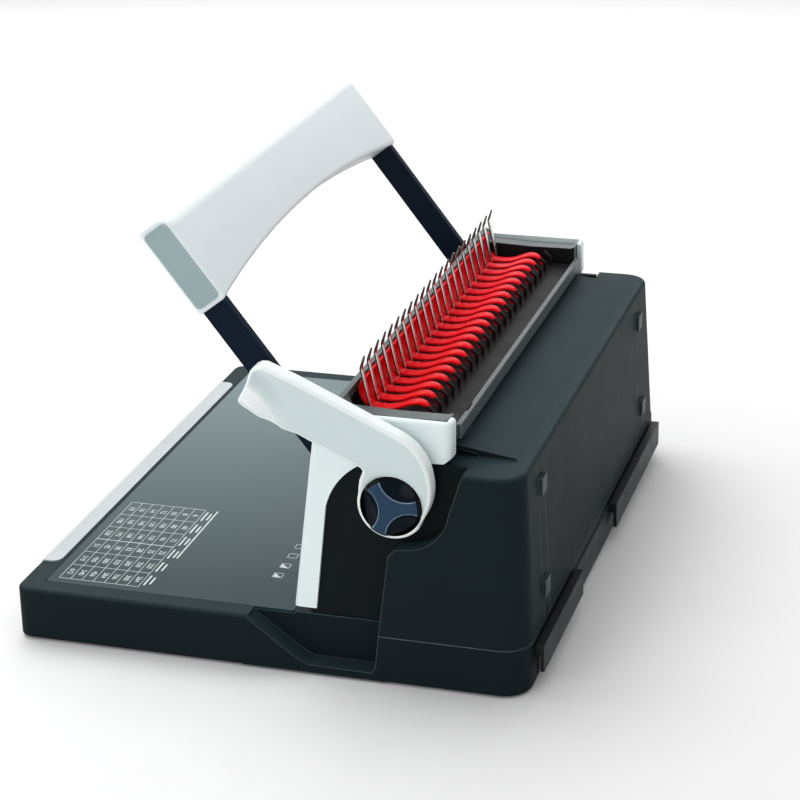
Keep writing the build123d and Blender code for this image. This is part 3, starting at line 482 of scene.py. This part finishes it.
# ---- handle grip ------------------------------------------------------
PIVOT_Y = 80.0
PIVOT_Z = 70.0
TILT = math.radians(52.5)
ARM_DIR = (-math.cos(TILT), math.sin(TILT))
FACE_DIR = (math.sin(TILT), math.cos(TILT))
GRIP_HALF = 173.6
GRIP_TOP = 250.2
GRIP_LOW_END = 190.2
GRIP_LOW_MID = 203.2
GRIP_UNDER = 10.6
GRIP_OVER = 11.4
TOP_RADIUS = 9.0
LOW_RADIUS = 3.0
HEEL_RADIUS = 1.6
END_ROUNDING = 1.4
END_STEPS = ((0.0, END_ROUNDING), (0.25, 0.75), (0.75, 0.25))
GRIP_SPANS = 60


def grip_low(x):
    """Distance of the grip's hollowed lower edge from the pivot."""
    rise = GRIP_LOW_MID - GRIP_LOW_END
    radius = (GRIP_HALF ** 2 + rise ** 2) / (2 * rise)
    return GRIP_LOW_MID - (radius - math.sqrt(max(0.0, radius ** 2 - x * x)))


def grip_section(x, inset):
    """The closed outline across the grip, moved inwards by the inset."""
    low = grip_low(x)
    corners = (
        (GRIP_TOP, GRIP_OVER, TOP_RADIUS, 0), (low, GRIP_OVER, LOW_RADIUS, 90),
        (low, -GRIP_UNDER, LOW_RADIUS, 180), (GRIP_TOP, -GRIP_UNDER, HEEL_RADIUS, 270),
    )
    outline = []
    for along, across, radius, start in corners:
        inner_along = along + (radius if along == low else -radius)
        inner_across = across + (radius if across < 0 else -radius)
        for k in range(9):
            angle = math.radians(start + 90 * k / 8)
            reach = max(0.05, radius - inset)
            outline.append(
                (inner_along + reach * math.cos(angle), inner_across + reach * math.sin(angle))
            )
    return outline


def grip_point(x, along, across):
    """A point of the grip in the machine's frame, in metres."""
    return (
        x * MM,
        (PIVOT_Y + along * ARM_DIR[0] + across * FACE_DIR[0]) * MM,
        (PIVOT_Z + along * ARM_DIR[1] + across * FACE_DIR[1]) * MM,
    )


stations = [(-GRIP_HALF + offset, inset) for offset, inset in END_STEPS]
full_length = 2 * GRIP_HALF - 2 * END_ROUNDING
for k in range(GRIP_SPANS + 1):
    stations.append((-GRIP_HALF + END_ROUNDING + full_length * k / GRIP_SPANS, 0.0))
stations += [(GRIP_HALF - offset, inset) for offset, inset in reversed(END_STEPS)]
grip_points = []
for x, inset in stations:
    section = grip_section(x, inset)
    grip_points += [grip_point(x, a, n) for a, n in section]
per_row = len(section)
grip_faces = ring_faces(len(stations), per_row)
grip_faces.append(tuple(range(per_row)))
grip_faces.append(tuple((len(stations) - 1) * per_row + k for k in range(per_row)))
grip = mesh_piece("grip_shell", grip_points, grip_faces, [MATERIALS["silver_grip"]], "handle")
crease(grip, 50)
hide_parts("handle_grip")

# ---- opener lever -----------------------------------------------------
AXIS_Y = 78.2
AXIS_Z = 115.6
LEVER_BACK = 186.0
LEVER_FACE = 196.5
POCKET_FLOOR = 190.0
POCKET_RADIUS = 18.9
HUB_RADIUS = 21.0
HUB_START = (94.3, 102.0)
HUB_END_ANGLE = -195
HUB_STEPS = 32
ROLL = 2.3
POCKET_STEPS = 96
POCKET_CHAMFER = 0.3
POCKET_DARK = 188.5
OUTLINE_STEP = 1.1
FIELD_STEP = 1.6
FIELD_MARGIN = 3.0
TAB_CORNER = (-12.1, 171.8)
TAB_ALONG = (0.857, -0.515)
TAB_ACROSS = (0.515, 0.857)
TAB_RISE = 3.4
TAB_RIM = 3.2
HOLLOW_DEPTH = 2.6
HOLLOW_AT = 11.0
HOLLOW_REACH = 14.0

lever_corners = [(61.0, 135.4), (60.2, 137.2), (58.0, 138.5), (30.1, 151.0), (21.1, 155.2)]
lever_corners += [(12.0, 157.3), (-10.6, 170.9), (-12.5, 172.4), (-13.1, 174.2)]
lever_corners += [(-8.0, 187.8), (-6.4, 191.4), (-4.2, 194.0), (-1.2, 195.5), (2.6, 195.6)]
lever_corners += [(21.5, 188.0), (50.0, 175.0)]
lever_corners += arc_through((81.6, 160.3), (95.4, 149.4), (101.6, 134.5), 16)
lever_corners += arc_through((101.6, 134.5), (101.4, 118.6), (94.6, 104.6), 16)
hub_from = math.degrees(math.atan2(HUB_START[1] - AXIS_Z, HUB_START[0] - AXIS_Y))
hub_sweep = (hub_from - HUB_END_ANGLE) % 360
for k in range(HUB_STEPS + 1):
    angle = math.radians(hub_from - hub_sweep * k / HUB_STEPS)
    lever_corners.append(
        (AXIS_Y + HUB_RADIUS * math.cos(angle), AXIS_Z + HUB_RADIUS * math.sin(angle))
    )
lever_corners += [(58.2, 125.0), (58.9, 130.0)]
lever_outline = resample(lever_corners, OUTLINE_STEP)
outline_segments = list(zip(lever_outline, lever_outline[1:] + lever_outline[:1]))


def outline_distance(point):
    """Distance of a point from the lever's outline."""
    best = 1e9
    px, py = point
    for (ax, ay), (bx, by) in outline_segments:
        dx, dy = bx - ax, by - ay
        k = max(0.0, min(1.0, ((px - ax) * dx + (py - ay) * dy) / (dx * dx + dy * dy)))
        best = min(best, math.hypot(px - ax - k * dx, py - ay - k * dy))
    return best


def inside_outline(point):
    """Whether a point lies within the lever's outline."""
    px, py = point
    inside = False
    for (ax, ay), (bx, by) in outline_segments:
        if (ay > py) != (by > py) and px < (bx - ax) * (py - ay) / (by - ay) + ax:
            inside = not inside
    return inside


def tab_height(point):
    """How far the face stands out: the thumb tab flares from a shallow hollow."""
    dy, dz = point[0] - TAB_CORNER[0], point[1] - TAB_CORNER[1]
    along = dy * TAB_ALONG[0] + dz * TAB_ALONG[1]
    across = dy * TAB_ACROSS[0] + dz * TAB_ACROSS[1]
    fade = 1 - ease((along - 12.0) / 22.0)
    shift = 9.0 * ease((along - 4.0) / 26.0)
    level = across + shift
    if level < TAB_RIM:
        height = TAB_RISE
    elif level < HOLLOW_AT:
        share = (level - TAB_RIM) / (HOLLOW_AT - TAB_RIM)
        height = TAB_RISE - (TAB_RISE + HOLLOW_DEPTH) * math.sin(share * math.pi / 2)
    else:
        height = HOLLOW_DEPTH * (ease((level - HOLLOW_AT) / HOLLOW_REACH) - 1)
    return height * fade


def roll_drop(distance):
    """Rounding of the face towards the outline."""
    if distance >= ROLL:
        return 0.0
    return ROLL - math.sqrt(max(0.0, ROLL ** 2 - (ROLL - distance) ** 2))


def inset_loop(distance):
    """Points inside the outline at a given distance from it."""
    loop = []
    count = len(lever_outline)
    for k in range(count):
        before = lever_outline[k - 1]
        after = lever_outline[(k + 1) % count]
        dy, dz = after[0] - before[0], after[1] - before[1]
        length = math.hypot(dy, dz) or 1.0
        for sign in (-1, 1):
            point = (
                lever_outline[k][0] + sign * distance * dz / length,
                lever_outline[k][1] - sign * distance * dy / length,
            )
            if inside_outline(point) and outline_distance(point) > 0.93 * distance:
                loop.append(point)
    return loop


def hub_distance(point):
    """Distance of a point from the lever's axis."""
    return math.dist(point, (AXIS_Y, AXIS_Z))


pocket_loop = []
for k in range(POCKET_STEPS):
    angle = 2 * math.pi * k / POCKET_STEPS
    pocket_loop.append(
        (AXIS_Y + POCKET_RADIUS * math.cos(angle), AXIS_Z + POCKET_RADIUS * math.sin(angle))
    )
field = lever_outline + pocket_loop
for distance in (0.08, 0.3, 0.7, 1.25, 1.85, 2.5):
    field += inset_loop(distance)
for k in range(75):
    for m in range(66):
        point = (-14.0 + FIELD_STEP * k, 90.0 + FIELD_STEP * m)
        if not inside_outline(point) or outline_distance(point) < FIELD_MARGIN:
            continue
        if hub_distance(point) > POCKET_RADIUS + 0.6:
            field.append(point)
rim_count = len(lever_outline)
loop_count = rim_count + POCKET_STEPS
field = field[:loop_count] + [
    point for point in field[loop_count:] if hub_distance(point) > POCKET_RADIUS + 0.25
]
edges = [(k, (k + 1) % rim_count) for k in range(rim_count)]
edges += [(rim_count + k, rim_count + (k + 1) % POCKET_STEPS) for k in range(POCKET_STEPS)]
flat, _, flat_faces, *_ = delaunay_2d_cdt([Vector(p) for p in field], edges, [], 0, 0.0005)
lever_points = []
lever_faces = []
for y, z in flat:
    depth = LEVER_FACE + tab_height((y, z)) - roll_drop(outline_distance((y, z)))
    if hub_distance((y, z)) < POCKET_RADIUS + 0.02:
        depth -= POCKET_CHAMFER
    lever_points.append((depth * MM, y * MM, z * MM))
for face in flat_faces:
    cy = sum(flat[k].x for k in face) / len(face)
    cz = sum(flat[k].y for k in face) / len(face)
    if inside_outline((cy, cz)) and hub_distance((cy, cz)) > POCKET_RADIUS - 0.02:
        lever_faces.append(tuple(face))
# side wall and back
base = len(lever_points)
for y, z in lever_outline:
    lever_points.append(
        ((LEVER_FACE + tab_height((y, z)) - roll_drop(0.0)) * MM, y * MM, z * MM)
    )
for y, z in lever_outline:
    lever_points.append((LEVER_BACK * MM, y * MM, z * MM))
lever_faces += [tuple(base + k for k in face) for face in ring_faces(2, rim_count)]
lever_faces.append(tuple(base + rim_count + k for k in range(rim_count)))
# pocket of the knob
base = len(lever_points)
for y, z in pocket_loop:
    lever_points.append(((LEVER_FACE - POCKET_CHAMFER) * MM, y * MM, z * MM))
for y, z in pocket_loop:
    lever_points.append((POCKET_FLOOR * MM, y * MM, z * MM))
lever_faces += [tuple(base + k for k in face) for face in ring_faces(2, POCKET_STEPS)]
lever_faces.append(tuple(base + POCKET_STEPS + k for k in range(POCKET_STEPS)))
lever = mesh_piece(
    "lever_shell", lever_points, lever_faces, [LEVER_SILVER, LEVER_EDGE_HIGHLIGHT, GLOSS_BLACK], "lever"
)
# Faces on the rolled edge take the painted highlight copy; the knob's pocket takes gloss black.
for polygon in lever.data.polygons:
    spot = (polygon.center[1] / MM, polygon.center[2] / MM)
    if hub_distance(spot) < POCKET_RADIUS + 0.01:
        if polygon.center[0] > POCKET_DARK * MM:
            polygon.material_index = 2
    elif polygon.normal.x > -0.5 and outline_distance(spot) < ROLL - 0.3:
        polygon.material_index = 1
crease(lever, 45)
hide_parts("opener_lever")

# ---- margin knob ------------------------------------------------------
KNOB_RADIUS = 18.3
KNOB_BACK = 190.6
KNOB_FACE = 200.0
SCOOP_AT = 22.6
SCOOP_RADIUS = 16.2
SCOOP_DEPTH = 6.4
SCOOP_ANGLES = (66, 186, 306)
SCOOP_CENTRES = [
    (SCOOP_AT * math.cos(math.radians(d)), SCOOP_AT * math.sin(math.radians(d)))
    for d in SCOOP_ANGLES
]
KNOB_ROLL = 1.4
KNOB_CROWN = 0.35
KNOB_LEAST = 1.5
KNOB_STEPS = 288
RIM_FROM = 17.1
RIDGE_REACH = (-0.12, 0.36)


def knob_height(radius, angle):
    """Height of the knob's face: a three-armed web between hollow scoops."""
    y = radius * math.cos(angle)
    z = radius * math.sin(angle)
    deepest = 0.0
    for cy, cz in SCOOP_CENTRES:
        reach = math.hypot(y - cy, z - cz) / SCOOP_RADIUS
        raw = SCOOP_DEPTH * (1 - reach ** 2.2)
        deepest = max(deepest, 0.5 * (raw + math.sqrt(raw * raw + 0.02)))
    crown = KNOB_CROWN * (radius / KNOB_RADIUS) ** 2
    edge = KNOB_RADIUS - radius
    rim = 0.0
    if edge < KNOB_ROLL:
        rim = KNOB_ROLL - math.sqrt(max(0.0, KNOB_ROLL ** 2 - (KNOB_ROLL - edge) ** 2))
    return max(KNOB_BACK + KNOB_LEAST, KNOB_FACE - deepest - crown - rim)


knob_points = []
radii = [0.0001, 1.0] + [1.0 + 0.25 * k for k in range(1, 65)]
radii += [17.3, 17.6, 17.85, 18.05, 18.18, 18.26, 18.3]
for radius in radii:
    for k in range(KNOB_STEPS):
        angle = 2 * math.pi * k / KNOB_STEPS
        knob_points.append(
            (
                knob_height(radius, angle) * MM, (AXIS_Y + radius * math.cos(angle)) * MM,
                (AXIS_Z + radius * math.sin(angle)) * MM,
            )
        )
for k in range(KNOB_STEPS):
    angle = 2 * math.pi * k / KNOB_STEPS
    knob_points.append(
        (
            KNOB_BACK * MM, (AXIS_Y + KNOB_RADIUS * math.cos(angle)) * MM,
            (AXIS_Z + KNOB_RADIUS * math.sin(angle)) * MM,
        )
    )
knob_faces = ring_faces(len(radii) + 1, KNOB_STEPS)
knob_faces.append(tuple(range(KNOB_STEPS)))
knob_faces.append(tuple(len(radii) * KNOB_STEPS + k for k in range(KNOB_STEPS)))
knob = mesh_piece(
    "knob_cap", knob_points, knob_faces, [KNOB_WEB, KNOB_SCOOP_SHADE, KNOB_RIDGE_HIGHLIGHT, GLOSS_BLACK], "knob"
)


def scoop_edge(y, z):
    """How far inside the nearest scoop's edge a point is, in millimetres."""
    best = -1e9
    for cy, cz in SCOOP_CENTRES:
        best = max(best, SCOOP_RADIUS - math.hypot(y - cy, z - cz))
    return best


# Scoop faces take the painted shade, the ridges between them the painted highlight, the rim gloss
# black.
for polygon in knob.data.polygons:
    y = polygon.center[1] / MM - AXIS_Y
    z = polygon.center[2] / MM - AXIS_Z
    inside = scoop_edge(y, z)
    if math.hypot(y, z) > RIM_FROM:
        polygon.material_index = 3
    elif RIDGE_REACH[0] < inside < RIDGE_REACH[1]:
        polygon.material_index = 2
    elif inside > 0:
        polygon.material_index = 1
crease(knob, 60)
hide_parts("margin_knob")

# ---- comb -------------------------------------------------------------
RING_COUNT = 21
RING_PITCH = 14.2875
RING_WIDTH = 8.6
RING_THICK = 1.5
SPINE_HALF = 148.5
ring_x = [(k - (RING_COUNT - 1) / 2) * RING_PITCH for k in range(RING_COUNT)]
gap_x = [(k - RING_COUNT / 2) * RING_PITCH for k in range(RING_COUNT + 1)]
RING_LINE = (
    (47.3, 173.6), (45.9, 170.0), (45.5, 165.8), (46.6, 161.8), (48.9, 159.0), (51.4, 157.0),
    (54.0, 155.9), (58.0, 155.7), (62.0, 155.8), (66.0, 156.4), (69.5, 157.5), (73.0, 159.0),
    (77.0, 160.4), (81.0, 160.9), (84.4, 159.9), (86.6, 157.7), (87.6, 154.8),
)


def ribbon(line, centre_x, widths, thick, corner=0.35):
    """A flat strip along a line in the Y-Z plane with rounded long edges."""
    points = []
    rows = len(line)
    for k, (y, z) in enumerate(line):
        before = line[max(0, k - 1)]
        after = line[min(rows - 1, k + 1)]
        ty, tz = after[0] - before[0], after[1] - before[1]
        length = math.hypot(ty, tz)
        ny, nz = -tz / length, ty / length
        half = widths[k] / 2
        side = min(half * 0.8, corner)
        for dx, dn in (
            (-half, -thick / 2 + corner), (-half + side * 0.3, -thick / 2 + corner * 0.3),
            (-half + side, -thick / 2), (half - side, -thick / 2),
            (half - side * 0.3, -thick / 2 + corner * 0.3), (half, -thick / 2 + corner),
            (half, thick / 2 - corner), (half - side * 0.3, thick / 2 - corner * 0.3),
            (half - side, thick / 2), (-half + side, thick / 2),
            (-half + side * 0.3, thick / 2 - corner * 0.3), (-half, thick / 2 - corner),
        ):
            points.append(((centre_x + dx) * MM, (y + ny * dn) * MM, (z + nz * dn) * MM))
    faces = ring_faces(rows, 12)
    faces.append(tuple(range(12)))
    faces.append(tuple((rows - 1) * 12 + k for k in range(12)))
    return points, faces


def gather(parts):
    """Joins several point and face lists in one."""
    points = []
    faces = []
    for part_points, part_faces in parts:
        base = len(points)
        points += part_points
        faces += [tuple(base + k for k in face) for face in part_faces]
    return points, faces


def smooth_line(points, step=0.8):
    """Even points on a rounded curve through the corners given."""
    result = []
    for k in range(len(points) - 1):
        p0 = points[max(0, k - 1)]
        p1 = points[k]
        p2 = points[k + 1]
        p3 = points[min(len(points) - 1, k + 2)]
        parts = max(2, round(math.dist(p1, p2) / step))
        for part in range(parts):
            t = part / parts
            result.append(
                tuple(
                    0.5 * (
                        2 * b + (c - a) * t + (2 * a - 5 * b + 4 * c - d) * t * t
                        + (3 * b - a - 3 * c + d) * t ** 3
                    )
                    for a, b, c, d in zip(p0, p1, p2, p3)
                )
            )
    result.append(points[-1])
    return result


def tapered(line, width, loss, start, power=1.0):
    """Widths along a line that narrow from a share of its length to its end."""
    widths = []
    for k in range(len(line)):
        share = k / (len(line) - 1)
        widths.append(width * (1 - loss * ease((share - start) / (1 - start)) ** power))
    return widths


comb_parts = []
spine_line = smooth_line(RING_LINE[:6])
comb_parts.append(ribbon(spine_line, 0.0, [2 * SPINE_HALF] * len(spine_line), RING_THICK))
ring_line = smooth_line(RING_LINE[4:])
ring_widths = tapered(ring_line, RING_WIDTH, 0.55, 0.72)
for x in ring_x:
    comb_parts.append(ribbon(ring_line, x, ring_widths, RING_THICK))
comb_points, comb_faces = gather(comb_parts)
comb = mesh_piece("comb_shell", comb_points, comb_faces, [MATERIALS["red_comb"]], "comb")
crease(comb, 50)
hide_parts("binding_comb")

# ---- steel fingers ----------------------------------------------------
FINGER_WIDTH = 4.57
FINGER_THICK = 1.2
BAR_LENGTH = 304.0
DARK_FROM = 0.1826
finger_line = smooth_line(
    (
        (60.0, 145.6), (56.0, 145.7), (54.6, 146.9), (53.9, 151.0), (52.8, 157.0), (50.2, 168.6),
        (48.0, 178.4), (47.3, 181.6), (47.6, 183.6), (48.4, 186.4), (49.4, 189.7),
    ),
    1.0,
)
finger_widths = tapered(finger_line, FINGER_WIDTH, 0.72, 0.86, 1.5)
finger_parts = [ribbon(finger_line, x, finger_widths, FINGER_THICK, 0.4) for x in gap_x]
bar_line = [(57.2, 145.6), (62.8, 145.6)]
finger_parts.append(ribbon(bar_line, 0.0, [BAR_LENGTH, BAR_LENGTH], FINGER_THICK, 0.3))
finger_points, finger_faces = gather(finger_parts)
fingers = mesh_piece(
    "finger_shell", finger_points, finger_faces, [MATERIALS["polished_steel"], STEEL_PAINTED_DARK], "frame"
)
# Tips and narrow sides of the fingers take the dark steel: painted reflection and painted shade.
for polygon in fingers.data.polygons:
    narrow_side = abs(polygon.normal.x) > 0.55
    tip = polygon.center[2] > DARK_FROM and polygon.normal.y > -0.2
    if narrow_side or tip:
        polygon.material_index = 1
crease(fingers, 50)
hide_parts("comb_fingers")

# ---- print on the tray ------------------------------------------------
DECK = 35.0
PRINT_LIFT = 0.04


def slab(corners, lift):
    """A thin flat shape on the deck, from its corners in order."""
    count = len(corners)
    points = [(x * MM, y * MM, (DECK + lift) * MM) for x, y in corners]
    points += [(x * MM, y * MM, DECK * MM) for x, y in corners]
    faces = [tuple(range(count)), tuple(reversed(range(count, 2 * count)))]
    for k in range(count):
        after = (k + 1) % count
        faces.append((k, count + k, count + after, after))
    return points, faces


def flat_bar(x0, y0, x1, y1, width, lift=PRINT_LIFT):
    """A thin printed line between two points on the deck."""
    dx, dy = x1 - x0, y1 - y0
    length = math.hypot(dx, dy)
    ox, oy = -dy / length * width / 2, dx / length * width / 2
    corners = [(x0 + ox, y0 + oy), (x1 + ox, y1 + oy), (x1 - ox, y1 - oy), (x0 - ox, y0 - oy)]
    return slab(corners, lift)


CHART_LEFT = 62.0
CHART_RIGHT = 180.0
CHART_LOW = -145.0
CHART_HIGH = -92.0
CHART_ROWS = 7
CHART_COLUMNS = 6
SIGN_Y = -13.0
SIGN_HALF = 3.0
SQUARES_X = (143.0, 129.0, 114.0, 100.0)
RING_X = 75
RING_RADIUS = 5
row_step = (CHART_HIGH - CHART_LOW) / CHART_ROWS
column_step = (CHART_RIGHT - CHART_LEFT) / CHART_COLUMNS
print_parts = []
for k in range(CHART_ROWS + 1):
    y = CHART_LOW + k * row_step
    print_parts.append(flat_bar(CHART_LEFT, y, CHART_RIGHT, y, 0.33))
for k in range(CHART_COLUMNS + 1):
    x = CHART_LEFT + k * column_step
    print_parts.append(flat_bar(x, CHART_LOW, x, CHART_HIGH, 0.7 if k == 3 else 0.4))
for k in range(CHART_COLUMNS):
    x = CHART_LEFT + k * column_step
    print_parts.append(flat_bar(x + 3.0, -89.4, x + column_step - 3.0, -89.4, 1.1))
    print_parts.append(flat_bar(x + 5.0, -86.2, x + column_step - 5.0, -86.2, 1.1))
print_parts.append(flat_bar(CHART_LEFT, -83.6, CHART_LEFT + 74.0, -83.6, 1.0))
for x in SQUARES_X:
    for side in (-SIGN_HALF, SIGN_HALF):
        y = SIGN_Y + side
        print_parts.append(flat_bar(x - SIGN_HALF, y, x + SIGN_HALF, y, 0.45))
        print_parts.append(
            flat_bar(x + side, SIGN_Y - SIGN_HALF, x + side, SIGN_Y + SIGN_HALF, 0.45)
        )
for x in SQUARES_X[:2]:
    triangle = [(x + a * SIGN_HALF, SIGN_Y + b * SIGN_HALF) for a, b in ((-1, -1), (1, -1), (1, 1))]
    print_parts.append(slab(triangle, PRINT_LIFT))
ring = []
for k in range(25):
    angle = math.radians(15 * k)
    ring.append((RING_X + RING_RADIUS * math.cos(angle), SIGN_Y + RING_RADIUS * math.sin(angle)))
for start, end in zip(ring, ring[1:]):
    print_parts.append(flat_bar(*start, *end, 0.5))


NUMERAL_HALF = 0.02
FIRST_COLUMN = (6, 8, 10, 12, 14, 16, 19)
SECOND_COLUMN = (22, 25, 28, 32, 38, 45, 51)
FACTORS = (10, 12)


def numeral(text, x, y, height):
    """Points and faces of a generic number lying on the deck."""
    curve = bpy.data.curves.new("numeral", "FONT")
    curve.body = text
    curve.size = height
    curve.align_x = "CENTER"
    curve.align_y = "CENTER"
    curve.extrude = NUMERAL_HALF
    carrier = bpy.data.objects.new("numeral", curve)
    mesh = bpy.data.meshes.new_from_object(carrier)
    points = [
        ((x + v.co.x) * MM, (y + v.co.y) * MM, (DECK + NUMERAL_HALF + v.co.z) * MM)
        for v in mesh.vertices
    ]
    faces = [tuple(p.vertices) for p in mesh.polygons]
    bpy.data.objects.remove(carrier)
    bpy.data.curves.remove(curve)
    bpy.data.meshes.remove(mesh)
    return points, faces


for k in range(CHART_ROWS):
    y = CHART_HIGH - (k + 0.5) * row_step
    for block, column in ((0, FIRST_COLUMN), (3, SECOND_COLUMN)):
        x = CHART_LEFT + (block + 0.5) * column_step
        print_parts.append(numeral(str(column[k]), x, y, 5.6))
        for cell, factor in enumerate(FACTORS, 1):
            x = CHART_LEFT + (block + cell + 0.5) * column_step
            print_parts.append(numeral(str(column[k] * factor), x, y, 5.0))
print_points, print_faces = gather(print_parts)
mesh_piece("deck_print", print_points, print_faces, [PALE_PRINT], "frame", smooth=False)
SEAM_X = 188.5
SEAM_Y = -155.0
SEAM_LIFT = 0.03
seam_parts = []
for side in (-1, 1):
    corner = (side * SEAM_X, SEAM_Y)
    seam_parts.append(flat_bar(*corner, side * (SEAM_X - 12.0), SEAM_Y, 0.5, SEAM_LIFT))
    seam_parts.append(flat_bar(*corner, side * SEAM_X, SEAM_Y + 11.0, 0.5, SEAM_LIFT))
seam_points, seam_faces = gather(seam_parts)
mesh_piece("deck_seams", seam_points, seam_faces, [SEAM_BLACK], "frame", smooth=False)

# ---- floor, world and lights ------------------------------------------
FLOOR_HALF = 6.0
floor_mesh = bpy.data.meshes.new("floor")
floor_mesh.from_pydata(
    [
        (-FLOOR_HALF, -FLOOR_HALF, 0), (FLOOR_HALF, -FLOOR_HALF, 0),
        (FLOOR_HALF, FLOOR_HALF, 0), (-FLOOR_HALF, FLOOR_HALF, 0),
    ],
    [], [(0, 1, 2, 3)],
)
floor = bpy.data.objects.new("floor", floor_mesh)
bpy.context.scene.collection.objects.link(floor)
floor_mesh.materials.append(moulded("floor_paint", (0.86, 0.86, 0.86), 0.7, vary=0.01))

world = bpy.data.worlds.new("world")
bpy.context.scene.world = world
world.use_nodes = True
world.node_tree.nodes["Background"].inputs["Color"].default_value = (1, 1, 1, 1)
world.node_tree.nodes["Background"].inputs["Strength"].default_value = 0.66
bpy.context.scene.view_settings.view_transform = "Standard"


def area_light(name, at, aim, size, power):
    """A rectangular lamp that faces a point."""
    data = bpy.data.lights.new(name, "AREA")
    data.shape = "RECTANGLE"
    data.size, data.size_y = size
    data.energy = power
    light = bpy.data.objects.new(name, data)
    bpy.context.scene.collection.objects.link(light)
    light.location = at
    light.rotation_euler = (Vector(aim) - Vector(at)).to_track_quat("-Z", "Y").to_euler()


area_light("key_above", (-0.5, -0.7, 1.7), (0, 0, 0.1), (1.6, 1.6), 21)
area_light("fill_far", (-1.5, -0.5, 0.75), (0, -0.05, 0.05), (1.8, 0.7), 6)
area_light("fill_near", (1.5, -0.5, 0.8), (0.1, 0, 0.1), (1.2, 0.8), 5)
